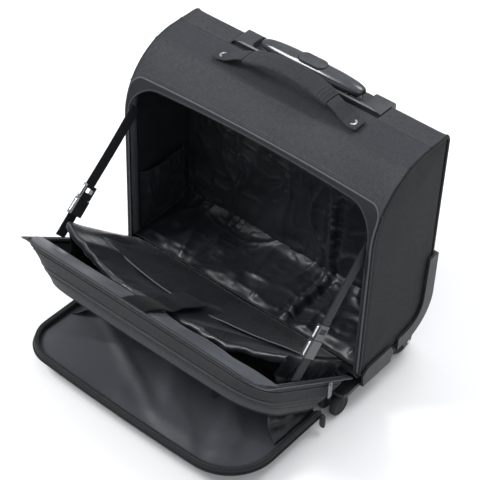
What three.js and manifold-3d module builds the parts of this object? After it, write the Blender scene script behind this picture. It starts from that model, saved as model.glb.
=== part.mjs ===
// Rolling flight case with its front door and its front pocket flap open.
// Millimetres. X runs to the right seen from the front, Y to the back, Z up.
// The shell is drawn with Z = 0 at its bottom and moved onto its wheels at the end.
// The door and the flap are drawn closed, then turned open about their hinges.
import * as THREE from "three";
import { ConvexGeometry } from "three/addons/geometries/ConvexGeometry.js";
import { mergeVertices } from "three/addons/utils/BufferGeometryUtils.js";
import Module from "manifold-3d";

const wasm = await Module();
wasm.setup();

// Shell
const SHELL_HALF_WIDTH = 215;
const SHELL_FRONT = -78;
const SHELL_BACK = 78;
const SHELL_HEIGHT = 337;
const FRONT_TOP_RADIUS = 100;
const REAR_TOP_RADIUS = 10;
const REAR_BOTTOM_RADIUS = 55;
const FRONT_BOTTOM_RADIUS = 8;
const PANEL_THICKNESS = 4;
const GAP = 0.35;
const REAR_SEAM = 37;
const FRONT_SEAM = -12;
const LINING_BACK = 55;
const SHELL_ABOVE_FLOOR = 58;

// Outlines seen from the front: the front top panel's lower edge, the opening inside its zip
// tape, and the mouth of the lining
const PANEL_EDGE = { half: 213, bottom: 10, corner: 297, crown: 301, topRound: 18, bottomRound: 6 };
const OPENING = { half: 206, bottom: -60, corner: 287, crown: 294, topRound: 40, bottomRound: 6 };
const MOUTH = { half: 209.5, bottom: 12, corner: 290, crown: 297, topRound: 36, bottomRound: 6 };
const CEILING = 324;

// Door
const DOOR_PIVOT = { y: -84, z: 3 };
const DOOR_OPEN = 55;
const DOOR_FACE = -134;
const DOOR_WALL = 3;
const DOOR_TAPE = { half: 213, bottom: 10, corner: 284, crown: 292, topRound: 46, bottomRound: 6 };
const DOOR_TAPE_WIDTH = 7;
// The door's outline at several depths, from its edge to its face
const DOOR_RINGS = [
  { y: -40, half: 215, bottom: 3.6, corner: 297, crown: 301, topRound: 30, bottomRound: 40 },
  { y: -62, half: 215, bottom: 3.6, corner: 288, crown: 294, topRound: 44, bottomRound: 40 },
  { y: -82, half: 214, bottom: 3.6, corner: 268, crown: 274, topRound: 52, bottomRound: 42 },
  { y: -96, half: 211, bottom: 4, corner: 251, crown: 257, topRound: 56, bottomRound: 44 },
  { y: DOOR_FACE, half: 202, bottom: 33, corner: 206, crown: 212, topRound: 60, bottomRound: 46 },
];

// Front pocket flap
const FLAP_PIVOT = { y: -136, z: 32 };
const FLAP_OPEN = 34;
const FLAP_OUTLINE = {
  half: 202,
  bottom: 34,
  corner: 214,
  crown: 219,
  topRound: 50,
  topRoundRight: 72,
  bottomRound: 6,
};
const FLAP_RIM_WIDTH = 8;

// Door stays: from a point on the door's edge to a point in the shell, with the door open
const STAYS = {
  left: { side: -1, x: 201.5, door: { y: -228, z: 112 }, shell: { y: -68, z: 248 } },
  right: { side: 1, x: 201.5, door: { y: -212, z: 92.6 }, shell: { y: -68, z: 238 } },
};
const STAY_WIDTH = 22;

// Telescopic handle
const TUBE_X = 68;
const TUBE_Y = 65.5;
const GRIP_HEIGHT = 345;
const GRIP_HALF_LENGTH = 85;
const BEZEL = { half: 125, front: 47, floor: 330.5, top: 341, apron: 312, recess: 97 };

// Wheels
const REAR_WHEEL = { x: 190, y: 52, radius: 27, width: 24, bore: 3.4 };
const CASTER = { x: 192, y: -88, trail: 14, radius: 17, inner: 5, outer: 16, axle: 2.8 };

const group = new THREE.Group();
const doorGroup = new THREE.Group();
const flapGroup = new THREE.Group();

const FABRIC = { color: 0x3c3e44, roughness: 0.85, metalness: 0 };
const SIDE_FABRIC = { color: 0x33353a, roughness: 0.85, metalness: 0 };
const NYLON = { color: 0x2a2c31, roughness: 0.5, metalness: 0 };
const DARK_NYLON = { color: 0x1a1b1f, roughness: 0.6, metalness: 0 };
const WEBBING = { color: 0x25272b, roughness: 0.8, metalness: 0 };
const PLASTIC = { color: 0x26282c, roughness: 0.5, metalness: 0 };
const GLOSS = { color: 0x3a3d43, roughness: 0.22, metalness: 0 };
const RUBBER = { color: 0x141416, roughness: 0.9, metalness: 0 };
const STEEL = { color: 0x9a9da2, roughness: 0.35, metalness: 0.9 };
const ALUMINIUM = { color: 0xb4b7bb, roughness: 0.4, metalness: 0.9 };

// Geometry helpers

function add(name, geometry, look, parent = group) {
  const mesh = new THREE.Mesh(geometry, new THREE.MeshStandardMaterial(look));
  mesh.name = name;
  parent.add(mesh);
  return mesh;
}

function solid(geometry) {
  const bare = geometry.index ? geometry.toNonIndexed() : geometry.clone();
  bare.deleteAttribute("normal");
  bare.deleteAttribute("uv");
  const merged = mergeVertices(bare, 1e-3);
  return new wasm.Manifold(
    new wasm.Mesh({
      numProp: 3,
      vertProperties: merged.attributes.position.array,
      triVerts: new Uint32Array(merged.index.array),
    }),
  );
}

function geometryOf(made) {
  const mesh = made.getMesh();
  const geometry = new THREE.BufferGeometry();
  geometry.setAttribute("position", new THREE.BufferAttribute(new Float32Array(mesh.vertProperties), 3));
  geometry.setIndex(new THREE.BufferAttribute(new Uint32Array(mesh.triVerts), 1));
  geometry.computeVertexNormals();
  return geometry;
}

function shapeOf(points, hole) {
  const shape = new THREE.Shape(points.map(([a, b]) => new THREE.Vector2(a, b)));
  if (hole) shape.holes.push(new THREE.Path(hole.map(([a, b]) => new THREE.Vector2(a, b))));
  return shape;
}

function extruded(shape, depth, bevel) {
  const options = { depth, bevelEnabled: false, curveSegments: 12 };
  if (bevel) {
    Object.assign(options, {
      depth: depth - 2 * bevel,
      bevelEnabled: true,
      bevelThickness: bevel,
      bevelSize: bevel,
      bevelOffset: -bevel,
      bevelSegments: 2,
    });
  }
  const geometry = new THREE.ExtrudeGeometry(shape, options);
  if (bevel) geometry.translate(0, 0, bevel);
  return geometry;
}

// Each of these takes an outline in the plane across the named axis.
function alongX(shape, x0, x1, bevel) {
  const turn = new THREE.Matrix4().set(0, 0, 1, x0, 1, 0, 0, 0, 0, 1, 0, 0, 0, 0, 0, 1);
  return extruded(shape, x1 - x0, bevel).applyMatrix4(turn);
}

function alongY(shape, y0, y1, bevel) {
  const turn = new THREE.Matrix4().set(1, 0, 0, 0, 0, 0, -1, y1, 0, 1, 0, 0, 0, 0, 0, 1);
  return extruded(shape, y1 - y0, bevel).applyMatrix4(turn);
}

function alongZ(shape, z0, z1, bevel) {
  return extruded(shape, z1 - z0, bevel).translate(0, 0, z0);
}

function box(x0, x1, y0, y1, z0, z1) {
  const geometry = new THREE.BoxGeometry(x1 - x0, y1 - y0, z1 - z0);
  return geometry.translate((x0 + x1) / 2, (y0 + y1) / 2, (z0 + z1) / 2);
}

// A box given by how far it lies from the middle, on the side the sign names.
function sideBox(side, near, far, y0, y1, z0, z1) {
  return box(Math.min(side * near, side * far), Math.max(side * near, side * far), y0, y1, z0, z1);
}

function sideAlongX(side, shape, near, far, bevel) {
  return alongX(shape, Math.min(side * near, side * far), Math.max(side * near, side * far), bevel);
}

function cylinderX(x0, x1, y, z, radius, segments = 20) {
  const geometry = new THREE.CylinderGeometry(radius, radius, x1 - x0, segments);
  return geometry.rotateZ(Math.PI / 2).translate((x0 + x1) / 2, y, z);
}

function cylinderZ(x, y, z0, z1, radius, segments = 24) {
  const geometry = new THREE.CylinderGeometry(radius, radius, z1 - z0, segments);
  return geometry.rotateX(Math.PI / 2).translate(x, y, (z0 + z1) / 2);
}

function arc(cx, cy, radius, fromDegrees, toDegrees, steps) {
  const points = [];
  for (let i = 0; i <= steps; i += 1) {
    const angle = THREE.MathUtils.degToRad(fromDegrees + ((toDegrees - fromDegrees) * i) / steps);
    points.push([cx + radius * Math.cos(angle), cy + radius * Math.sin(angle)]);
  }
  return points;
}

function roundedRectangle(halfA, halfB, radius, steps = 5) {
  return [
    ...arc(halfA - radius, -halfB + radius, radius, -90, 0, steps),
    ...arc(halfA - radius, halfB - radius, radius, 0, 90, steps),
    ...arc(-halfA + radius, halfB - radius, radius, 90, 180, steps),
    ...arc(-halfA + radius, -halfB + radius, radius, 180, 270, steps),
  ];
}

function moved(points, a, b) {
  return points.map(([p, q]) => [p + a, q + b]);
}

function turned(points, a, b, degrees) {
  const angle = THREE.MathUtils.degToRad(degrees);
  return points.map(([p, q]) => [
    a + (p - a) * Math.cos(angle) - (q - b) * Math.sin(angle),
    b + (p - a) * Math.sin(angle) + (q - b) * Math.cos(angle),
  ]);
}

// The shell's side outline in the YZ plane, moved outwards by offset.
function profile(offset) {
  const grown = (radius) => Math.max(radius + offset, 0.5);
  return [
    ...arc(SHELL_BACK - REAR_BOTTOM_RADIUS, REAR_BOTTOM_RADIUS, grown(REAR_BOTTOM_RADIUS), -90, 0, 10),
    ...arc(SHELL_BACK - REAR_TOP_RADIUS, SHELL_HEIGHT - REAR_TOP_RADIUS, grown(REAR_TOP_RADIUS), 0, 90, 4),
    ...arc(SHELL_FRONT + FRONT_TOP_RADIUS, SHELL_HEIGHT - FRONT_TOP_RADIUS, grown(FRONT_TOP_RADIUS), 90, 180, 14),
    ...arc(SHELL_FRONT + FRONT_BOTTOM_RADIUS, FRONT_BOTTOM_RADIUS, grown(FRONT_BOTTOM_RADIUS), 180, 270, 3),
  ];
}

// A skin of the shell between two offsets, all the way round.
function skin(inner, outer, half) {
  return solid(alongX(shapeOf(profile(outer), profile(inner)), -half, half));
}

// An outline in the XZ plane with an arched top and rounded corners, shrunk by inset.
function archOutline(o, inset = 0) {
  const half = o.half - inset;
  const bottomRound = Math.max(o.bottomRound - inset, 1);
  const bottom = o.bottom + inset;
  const top = (x) => o.corner - inset + (o.crown - o.corner) * (1 - (x / half) ** 2);
  // From the side's top end round the corner to the middle of the top edge
  const corner = (round) => {
    const points = [];
    for (let i = 0; i <= 8; i += 1) {
      const angle = (Math.PI / 2) * (i / 8);
      points.push([half - round + round * Math.cos(angle), round * (1 - Math.sin(angle))]);
    }
    for (let i = 1; i <= 6; i += 1) points.push([(half - round) * (1 - i / 6), 0]);
    return points;
  };
  const left = corner(Math.max(o.topRound - inset, 1));
  const right = corner(Math.max((o.topRoundRight ?? o.topRound) - inset, 1));
  return [
    ...arc(-half + bottomRound, bottom + bottomRound, bottomRound, 180, 270, 6),
    ...arc(half - bottomRound, bottom + bottomRound, bottomRound, 270, 360, 6),
    ...right.map(([x, drop]) => [x, top(x) - drop]),
    ...left.slice(0, -1).reverse().map(([x, drop]) => [-x, top(x) - drop]),
  ];
}

function prismY(outline, y0 = -400, y1 = 0) {
  return solid(alongY(shapeOf(outline), y0, y1));
}

// Shell panels

function buildShell() {
  const half = SHELL_HALF_WIDTH - 3.5;
  const wall = skin(-PANEL_THICKNESS, 0, half);
  const big = 400;
  const backRegion = solid(box(-big, big, REAR_SEAM + GAP / 2, big, REAR_BOTTOM_RADIUS, big));
  let back = wall.intersect(backRegion);
  for (const side of [-1, 1]) {
    back = back.subtract(solid(sideBox(side, 148, big, 60, 90, 0, 130)));
  }
  back = back.subtract(solid(box(-BEZEL.half - 1, BEZEL.half + 1, BEZEL.front - 1, 90, BEZEL.floor - 4, big)));
  back = back.subtract(solid(box(-BEZEL.half - 1, BEZEL.half + 1, 76, 90, BEZEL.apron - 1, big)));
  add("back_panel", geometryOf(back), FABRIC);

  const bottom = wall
    .intersect(solid(box(-big, big, -90, 90, -10, REAR_BOTTOM_RADIUS - GAP)))
    .subtract(solid(box(-big, big, -90, -70, FRONT_BOTTOM_RADIUS + 2, big)));
  add("bottom_panel", geometryOf(bottom), SIDE_FABRIC);

  const top = wall.intersect(solid(box(-big, big, FRONT_SEAM + GAP / 2, REAR_SEAM - GAP / 2, 300, big)));
  add("top_panel", geometryOf(top), FABRIC);

  const frontTop = wall
    .intersect(solid(box(-big, big, -90, FRONT_SEAM - GAP / 2, 150, big)))
    .subtract(prismY(archOutline(PANEL_EDGE, -GAP), -200, FRONT_SEAM + 5));
  add("front_top_panel", geometryOf(frontTop), FABRIC);

  for (const side of [-1, 1]) {
    const label = side < 0 ? "left" : "right";
    add("side_panel_" + label, sideAlongX(side, shapeOf(profile(-4.6)), half + GAP, SHELL_HALF_WIDTH), SIDE_FABRIC);
    const bead = sideAlongX(side, shapeOf(profile(-0.3), profile(-4.1)), SHELL_HALF_WIDTH - 3, SHELL_HALF_WIDTH + 1, 1.2);
    add("piping_" + label, bead, WEBBING);
  }

  const liningOuter = solid(alongX(shapeOf(profile(-5.5)), -211, 211)).intersect(
    solid(box(-big, big, -90, LINING_BACK, -10, CEILING)),
  );
  const liningInner = solid(alongX(shapeOf(profile(-7)), -209.5, 209.5)).intersect(
    solid(box(-big, big, -90, LINING_BACK - 1.5, -10, CEILING - 1.5)),
  );
  const lining = liningOuter.subtract(liningInner).subtract(prismY(archOutline(MOUTH), -200, -45));
  add("lining", geometryOf(lining), NYLON);

  const tapeBand = prismY(archOutline(PANEL_EDGE), -200, FRONT_SEAM).subtract(
    prismY(archOutline(OPENING), -200, FRONT_SEAM),
  );
  const bodyTape = skin(GAP, 2.3, PANEL_EDGE.half).intersect(tapeBand);
  add("zip_tape_shell", geometryOf(bodyTape), WEBBING);
  const doorBand = prismY(archOutline(DOOR_TAPE), -200, FRONT_SEAM).subtract(
    prismY(archOutline({ ...DOOR_TAPE, bottom: -60 }, DOOR_TAPE_WIDTH), -200, FRONT_SEAM),
  );
  const doorTape = skin(2.7, 4.3, DOOR_TAPE.half).intersect(doorBand);
  add("zip_tape_door", geometryOf(doorTape), WEBBING, doorGroup);
}

// Webbing band and pockets on the inside of the shell

function buildInside() {
  const y = LINING_BACK - 2.2;
  add("inner_band", box(-208, 208, y - 1.8, y, 262, 290), WEBBING);
  const ring = solid(box(150, 180, y - 5.2, y - 2.3, 257, 295)).subtract(solid(box(155, 175, y - 9, y, 263, 289)));
  add("band_slide", geometryOf(ring), STEEL);
  for (const side of [-1, 1]) {
    const pocket = sideBox(side, 194, 195.6, -62, 44, 14, 118);
    add("side_pocket_" + (side < 0 ? "left" : "right"), pocket, NYLON);
  }
}

// Base moulding, rear guards, wheels and casters

function buildBase() {
  let base = solid(box(-212, 212, -106, -14, -18, -13.5));
  for (const side of [-1, 1]) {
    const ear = moved(roundedRectangle(20, 46, 10), side * 194, -62);
    base = base.add(solid(alongZ(shapeOf(ear), -20, -13.5)));
    base = base.add(solid(sideBox(side, 160, 212, -60, -24, -14, -GAP)));
    const rail = [[-72, -14], [-8, -14], [-2, -2], [-10, 13], [-64, 13], [-74, 3]];
    base = base.add(solid(sideAlongX(side, shapeOf(rail), SHELL_HALF_WIDTH + 1.4, SHELL_HALF_WIDTH + 5)));
    base = base.add(solid(sideBox(side, 205, SHELL_HALF_WIDTH + 5, -72, -8, -18, -13.5)));
    base = base.add(solid(sideBox(side, SHELL_HALF_WIDTH + 1.4, SHELL_HALF_WIDTH + 5, -72, -8, -18, -10)));
  }
  base = base.add(solid(box(-150, 150, -60, -24, -14, -GAP)));
  add("base_moulding", geometryOf(base), PLASTIC);

  for (const side of [-1, 1]) {
    const label = side < 0 ? "left" : "right";
    const reach = solid(box(-400, 400, 6, 100, -20, 128));
    const behind = solid(sideAlongX(side, shapeOf(profile(5), profile(0.6)), 150, SHELL_HALF_WIDTH + 5.5)).intersect(reach);
    const beside = solid(
      sideAlongX(side, shapeOf(profile(5), profile(-17)), SHELL_HALF_WIDTH + 1.5, SHELL_HALF_WIDTH + 5.5),
    ).intersect(reach);
    let guard = behind.add(beside);
    const { x, y, radius, width } = REAR_WHEEL;
    const axleHeight = radius - SHELL_ABOVE_FLOOR;
    const cheek = [
      ...arc(y, axleHeight, 10, 180, 360, 8),
      [y + 22, 6],
      ...arc(SHELL_BACK - REAR_BOTTOM_RADIUS, REAR_BOTTOM_RADIUS, REAR_BOTTOM_RADIUS + 2, -28, -86, 6),
      [y - 32, -8],
    ];
    for (const near of [x - width / 2 - 6, x + width / 2 + 1.2]) {
      guard = guard.add(solid(sideAlongX(side, shapeOf(cheek), near, near + 4.8)));
    }
    const across = [side * (x - 22), side * (x + 22)].sort((a, b) => a - b);
    guard = guard.subtract(solid(cylinderX(across[0], across[1], y, axleHeight, REAR_WHEEL.bore)));
    add("rear_guard_" + label, geometryOf(guard), PLASTIC);

    const pin = [side * (x - 20.5), side * (x + 20.5)].sort((a, b) => a - b);
    add("rear_axle_" + label, cylinderX(pin[0], pin[1], y, axleHeight, 3), STEEL);

    const bore = REAR_WHEEL.bore;
    const tread = width / 2;
    const wheelProfile = [
      [bore, -tread + 2], [9, -tread], [12, -tread + 1], [radius - 9, -tread + 4], [radius - 6, -tread + 1],
      [radius - 3, -tread], [radius, -tread + 3], [radius, tread - 3], [radius - 3, tread],
      [radius - 6, tread - 1], [radius - 9, tread - 4], [12, tread - 1], [9, tread], [bore, tread - 2],
      [bore, -tread + 2],
    ];
    const wheel = new THREE.LatheGeometry(wheelProfile.map(([r, h]) => new THREE.Vector2(r, h)), 36);
    add("rear_wheel_" + label, wheel.rotateZ(-Math.PI / 2).translate(side * x, y, axleHeight), RUBBER);
  }
}

function buildCasters() {
  for (const side of [-1, 1]) {
    const label = side < 0 ? "left" : "right";
    const centre = CASTER.y - CASTER.trail;
    const axleHeight = CASTER.radius - SHELL_ABOVE_FLOOR;
    const stem = [
      ...arc(centre, axleHeight, 8, 180, 320, 6),
      [CASTER.y + 10, -28],
      [CASTER.y + 10, -22],
      [CASTER.y - 10, -22],
      [centre - 8, -30],
    ];
    let housing = solid(alongX(shapeOf(stem), side * CASTER.x - 4, side * CASTER.x + 4));
    housing = housing.add(solid(cylinderZ(side * CASTER.x, CASTER.y, -23.5, -20.4, 13)));
    housing = housing.subtract(
      solid(cylinderX(side * CASTER.x - 9, side * CASTER.x + 9, centre, axleHeight, CASTER.axle + 0.4)),
    );
    add("caster_housing_" + label, geometryOf(housing), PLASTIC);

    const { radius, inner, outer, axle } = CASTER;
    const half = [
      [axle, inner], [radius - 3, inner], [radius - 0.6, inner + 1.5], [radius, inner + 4],
      [radius, outer - 4], [radius - 1, outer - 1.5], [radius - 3, outer], [radius - 6, outer - 1.5], [7, outer - 1],
      [5, outer], [0, outer],
    ];
    const mirrored = half.map(([r, h]) => [r, -h]).reverse();
    const wheelProfile = [...mirrored, ...half].map(([r, h]) => new THREE.Vector2(r, h));
    const wheels = new THREE.LatheGeometry(wheelProfile, 30);
    add("caster_wheels_" + label, wheels.rotateZ(-Math.PI / 2).translate(side * CASTER.x, centre, axleHeight), RUBBER);
  }
}

// Telescopic handle

function tube(x, halfX, halfY, wall, z0, z1) {
  const outer = moved(roundedRectangle(halfX, halfY, 2.5, 3), x, TUBE_Y);
  const inner = moved(roundedRectangle(halfX - wall, halfY - wall, 1.6, 3), x, TUBE_Y);
  return alongZ(shapeOf(outer, inner), z0, z1);
}

function buildTelescope() {
  for (const side of [-1, 1]) {
    const label = side < 0 ? "left" : "right";
    add("outer_tube_" + label, tube(side * TUBE_X, 12, 8, 1.2, 50, BEZEL.floor - 4), ALUMINIUM);
    add("middle_tube_" + label, tube(side * TUBE_X, 10.4, 6.4, 1.2, 54, 331), ALUMINIUM);
    const rod = moved(roundedRectangle(8.8, 4.8, 2, 3), side * TUBE_X, TUBE_Y);
    add("inner_tube_" + label, alongZ(shapeOf(rod), 58, 333), ALUMINIUM);
  }

  // The bezel is a sunken tray under the grip, with a low cover at each end of it.
  const rear = SHELL_BACK + 5;
  const section = [
    [BEZEL.front, BEZEL.floor - 3.5],
    [SHELL_BACK - 1.6, BEZEL.floor - 3.5],
    [SHELL_BACK - 1.6, BEZEL.apron],
    [rear - 1, BEZEL.apron],
    ...arc(rear - 9, BEZEL.top - 9, 9, 0, 90, 5),
    [BEZEL.front + 2, BEZEL.top],
    [BEZEL.front, BEZEL.top - 2],
  ];
  let bezel = solid(alongX(shapeOf(section), -BEZEL.half, BEZEL.half));
  const recess = moved(roundedRectangle(BEZEL.recess, 17, 8), 0, 66);
  bezel = bezel.subtract(solid(alongZ(shapeOf(recess), BEZEL.floor, 400)));
  for (const side of [-1, 1]) {
    const slope = [[side * 126, 338], [side * 126, 360], [side * 108, 360], [side * 108, BEZEL.top + 0.1]];
    bezel = bezel.subtract(solid(alongY(shapeOf(side > 0 ? slope.reverse() : slope), 30, 90)));
    bezel = bezel.subtract(solid(sideBox(side, TUBE_X - 11.2, TUBE_X + 11.2, TUBE_Y - 7.2, TUBE_Y + 7.2, 300, 360)));
  }
  add("handle_bezel", geometryOf(bezel), PLASTIC);

  const rings = [new THREE.Vector2(0, -GRIP_HALF_LENGTH)];
  for (let i = 0; i <= 16; i += 1) {
    const t = Math.sin((Math.PI / 2) * (-1 + i / 8));
    const swell = (1 - Math.abs(t) ** 3) ** 0.5;
    rings.push(new THREE.Vector2(5 + 9.5 * swell, t * GRIP_HALF_LENGTH));
  }
  rings.push(new THREE.Vector2(0, GRIP_HALF_LENGTH));
  const grip = new THREE.LatheGeometry(rings, 20);
  grip.rotateZ(-Math.PI / 2).scale(1, 1, 0.72).translate(0, TUBE_Y - 2, GRIP_HEIGHT);
  let handle = solid(grip);
  for (const side of [-1, 1]) {
    const leg = moved(roundedRectangle(8.8, 4.8, 2, 3), side * TUBE_X, TUBE_Y);
    handle = handle.add(solid(alongZ(shapeOf(leg), 333.4, GRIP_HEIGHT)));
  }
  const oval = (grow) => moved(roundedRectangle(23 + grow, 10 + grow, 9.9 + grow, 6), 0, TUBE_Y - 2);
  handle = handle.subtract(solid(alongZ(shapeOf(oval(0.4)), GRIP_HEIGHT + 1.4, GRIP_HEIGHT + 30)));
  add("trolley_grip", geometryOf(handle), GLOSS);
  add("trolley_button", alongZ(shapeOf(oval(-0.2)), GRIP_HEIGHT + 5, GRIP_HEIGHT + 11.6, 1), PLASTIC);
}

// Carry handle on the top panel

function buildCarryHandle() {
  const lower = [];
  const upper = [];
  for (let i = 0; i <= 8; i += 1) {
    const x = -70 + (140 * i) / 8;
    const rise = 13 * (1 - (x / 70) ** 2);
    lower.push([x, SHELL_HEIGHT + 12 + rise]);
    upper.unshift([x, SHELL_HEIGHT + 24 + rise]);
  }
  const grip = alongY(shapeOf([...lower, ...upper]), -4, 30, 4);
  add("carry_grip", grip, FABRIC);
  for (const side of [-1, 1]) {
    const label = side < 0 ? "left" : "right";
    const path = [[121, 0.5], [100, 0.5], [93, 2.5], [87, 8], [80, 14], [71.5, 17]];
    const under = path.map(([x, z]) => [side * x, SHELL_HEIGHT + z]);
    const over = path.map(([x, z]) => [side * x, SHELL_HEIGHT + z + 1.8]).reverse();
    const outline = side > 0 ? [...over, ...under] : [...under, ...over];
    add("carry_webbing_" + label, alongY(shapeOf(outline), -4, 20), WEBBING);
    const dome = [[0, 0], [7, 0], [7.4, 0.8], [6.4, 2.2], [3.6, 2.4], [3, 1.4], [0, 1.4]];
    const rivet = new THREE.LatheGeometry(dome.map(([r, h]) => new THREE.Vector2(r, h)), 20);
    rivet.rotateX(Math.PI / 2).translate(side * 109, 8, SHELL_HEIGHT + 2.7);
    add("rivet_" + label, rivet, STEEL);
  }
}

// Door, drawn closed

// The space inside the door's outlines, shrunk by inset and running on past the face.
function doorBody(inset) {
  const points = [];
  for (const ring of DOOR_RINGS) {
    const y = inset && ring.y === DOOR_FACE ? DOOR_FACE - 1 : ring.y;
    for (const [x, z] of archOutline(ring, inset)) points.push(new THREE.Vector3(x, y, z));
  }
  return solid(new ConvexGeometry(points));
}

function buildDoor() {
  const clear = solid(alongX(shapeOf(profile(4.7)), -300, 300));
  const outer = doorBody(0).subtract(clear);
  const frontSlab = solid(box(-300, 300, -200, DOOR_FACE + DOOR_WALL, -10, 400));
  add("door_panel", geometryOf(outer.intersect(frontSlab)), FABRIC, doorGroup);
  const band = outer
    .subtract(doorBody(DOOR_WALL))
    .subtract(solid(box(-300, 300, -200, DOOR_FACE + DOOR_WALL + GAP, -10, 400)));
  add("door_gusset", geometryOf(band), SIDE_FABRIC, doorGroup);

  // Sheets that stand across the door, each from a low edge to a high edge in the YZ plane
  const standing = (name, low, high, thickness, x0, x1, look) => {
    const section = [low, [low[0] + thickness, low[1]], [high[0] + thickness, high[1]], high];
    add(name, alongX(shapeOf(section), x0, x1), look, doorGroup);
  };
  standing("organizer_panel", [-75, 16], [-73, 190], 1.8, -192, 192, DARK_NYLON);
  standing("organizer_pocket", [-68, 18], [-65, 128], 1.4, -186, 186, NYLON);
  standing("hook_strap", [-73, 193], [-86, 262], 1.6, -25, 15, WEBBING);
}

// Front pocket flap, drawn closed against the door

function buildFlap() {
  add("flap_panel", geometryOf(prismY(archOutline(FLAP_OUTLINE), -146.5, -144.1)), FABRIC, flapGroup);
  const rim = prismY(archOutline(FLAP_OUTLINE), -143.7, -134.5)
    .subtract(prismY(archOutline(FLAP_OUTLINE, FLAP_RIM_WIDTH), -200, 0))
    .subtract(solid(box(-300, 300, -200, 0, 0, 44)));
  add("flap_rim", geometryOf(rim), WEBBING, flapGroup);

  for (const side of [-1, 1]) {
    const [flapCorner] = turned([[-142.5, 150]], FLAP_PIVOT.y, FLAP_PIVOT.z, FLAP_OPEN);
    const [flapFoot] = turned([[-142.5, 46]], FLAP_PIVOT.y, FLAP_PIVOT.z, FLAP_OPEN);
    const fold = [flapFoot, [-135, 48], [-135, 150], flapCorner];
    add("flap_gusset_" + (side < 0 ? "left" : "right"), sideAlongX(side, shapeOf(fold.reverse()), 186, 187.4), NYLON, doorGroup);
  }
}

// Door stays, drawn in their place with the door open

function buildStays() {
  for (const [label, { side, x, door, shell }] of Object.entries(STAYS)) {
    const length = Math.hypot(shell.y - door.y, shell.z - door.z);
    const tilt = THREE.MathUtils.radToDeg(Math.atan2(shell.z - door.z, shell.y - door.y));
    const strip = (from, to, width) => {
      const flat = [[from, -width / 2], [to, -width / 2], [to, width / 2], [from, width / 2]];
      return turned(moved(flat, door.y, door.z), door.y, door.z, tilt);
    };
    const bar = (from, to, width, thickness) =>
      sideAlongX(side, shapeOf(strip(from, to, width)), x - thickness / 2, x + thickness / 2);
    add("stay_lower_" + label, bar(3, 36, STAY_WIDTH, 1.6), WEBBING);
    const socket = solid(bar(36.4, 62, 28, 8)).subtract(solid(bar(42, 70, 22, 5)));
    add("buckle_socket_" + label, geometryOf(socket), PLASTIC);
    const plug = solid(bar(62.4, 84, 26, 7))
      .add(solid(bar(43, 66, 21, 3.8)))
      .subtract(solid(bar(40, 58, 9, 12)))
      .subtract(solid(bar(72, 79, 18, 12)));
    add("buckle_plug_" + label, geometryOf(plug), PLASTIC);
    add("stay_upper_" + label, bar(84.4, length - 2, STAY_WIDTH, 1.6), WEBBING);
  }
}

// Zip pulls

function buildPulls() {
  const tab = (width, long) => {
    const plate = solid(alongY(shapeOf(roundedRectangle(width / 2, long / 2, width / 2 - 0.2)), -1, 1));
    const hole = solid(alongY(shapeOf(moved(roundedRectangle(width / 5, width / 5, width / 5 - 0.1), 0, long / 2 - width / 2)), -3, 3));
    return geometryOf(plate.subtract(hole));
  };
  add("main_zip_pull", tab(9, 30).rotateZ(Math.PI / 2).translate(217.5, -150, 38), STEEL);
  add("pocket_zip_pull", tab(9, 26).translate(208, -146, -34), STEEL);
}

buildShell();
buildInside();
buildBase();
buildCasters();
buildTelescope();
buildCarryHandle();
buildDoor();
buildFlap();
buildStays();
buildPulls();

// Turns a group about an X axis through a point of its parent's frame.
function hinge(target, parent, pivot, degrees) {
  const holder = new THREE.Group();
  holder.position.set(0, pivot.y, pivot.z);
  holder.rotation.x = THREE.MathUtils.degToRad(degrees);
  target.position.set(0, -pivot.y, -pivot.z);
  holder.add(target);
  parent.add(holder);
}
hinge(flapGroup, doorGroup, FLAP_PIVOT, FLAP_OPEN);
hinge(doorGroup, group, DOOR_PIVOT, DOOR_OPEN);

group.position.z = SHELL_ABOVE_FLOOR;
group.updateMatrixWorld(true);
const bounds = new THREE.Box3().setFromObject(group, true);
group.position.y = -(bounds.min.y + bounds.max.y) / 2;
group.updateMatrixWorld(true);

export default group;
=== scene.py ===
"""Looks of a rolling flight case with its front door and front pocket open.

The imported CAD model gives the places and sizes. The builders below work in millimetres in the
case's own frame: X to the right seen from the front, Y to the back, Z up from the shell's bottom.
The door and the pocket flap are drawn closed, then turned open like the CAD solids.
"""

import math

import bpy
import numpy as np
from mathutils import Matrix, Vector


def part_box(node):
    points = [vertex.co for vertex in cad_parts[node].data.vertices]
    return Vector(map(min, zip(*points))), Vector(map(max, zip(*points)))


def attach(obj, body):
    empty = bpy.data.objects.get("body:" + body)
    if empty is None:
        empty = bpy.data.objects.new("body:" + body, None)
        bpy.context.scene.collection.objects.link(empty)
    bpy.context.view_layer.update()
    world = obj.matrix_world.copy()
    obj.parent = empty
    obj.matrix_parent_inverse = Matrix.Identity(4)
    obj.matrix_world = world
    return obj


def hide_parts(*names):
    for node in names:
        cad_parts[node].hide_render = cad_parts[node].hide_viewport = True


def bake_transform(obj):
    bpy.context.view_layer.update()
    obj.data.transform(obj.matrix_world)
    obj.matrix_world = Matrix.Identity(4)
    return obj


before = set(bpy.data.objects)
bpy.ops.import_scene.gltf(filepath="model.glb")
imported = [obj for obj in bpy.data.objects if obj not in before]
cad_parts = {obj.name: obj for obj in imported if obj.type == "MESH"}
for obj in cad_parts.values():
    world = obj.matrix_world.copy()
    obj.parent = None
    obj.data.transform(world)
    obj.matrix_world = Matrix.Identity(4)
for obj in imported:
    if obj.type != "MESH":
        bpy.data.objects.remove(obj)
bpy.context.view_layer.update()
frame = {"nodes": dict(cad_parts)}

# The case's sizes, in millimetres
SHELL_HALF_WIDTH = 215
SHELL_FRONT = -78
SHELL_BACK = 78
SHELL_HEIGHT = 337
FRONT_TOP_RADIUS = 100
REAR_TOP_RADIUS = 10
REAR_BOTTOM_RADIUS = 55
FRONT_BOTTOM_RADIUS = 8
REAR_SEAM = 37
LINING_BACK = 55
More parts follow.
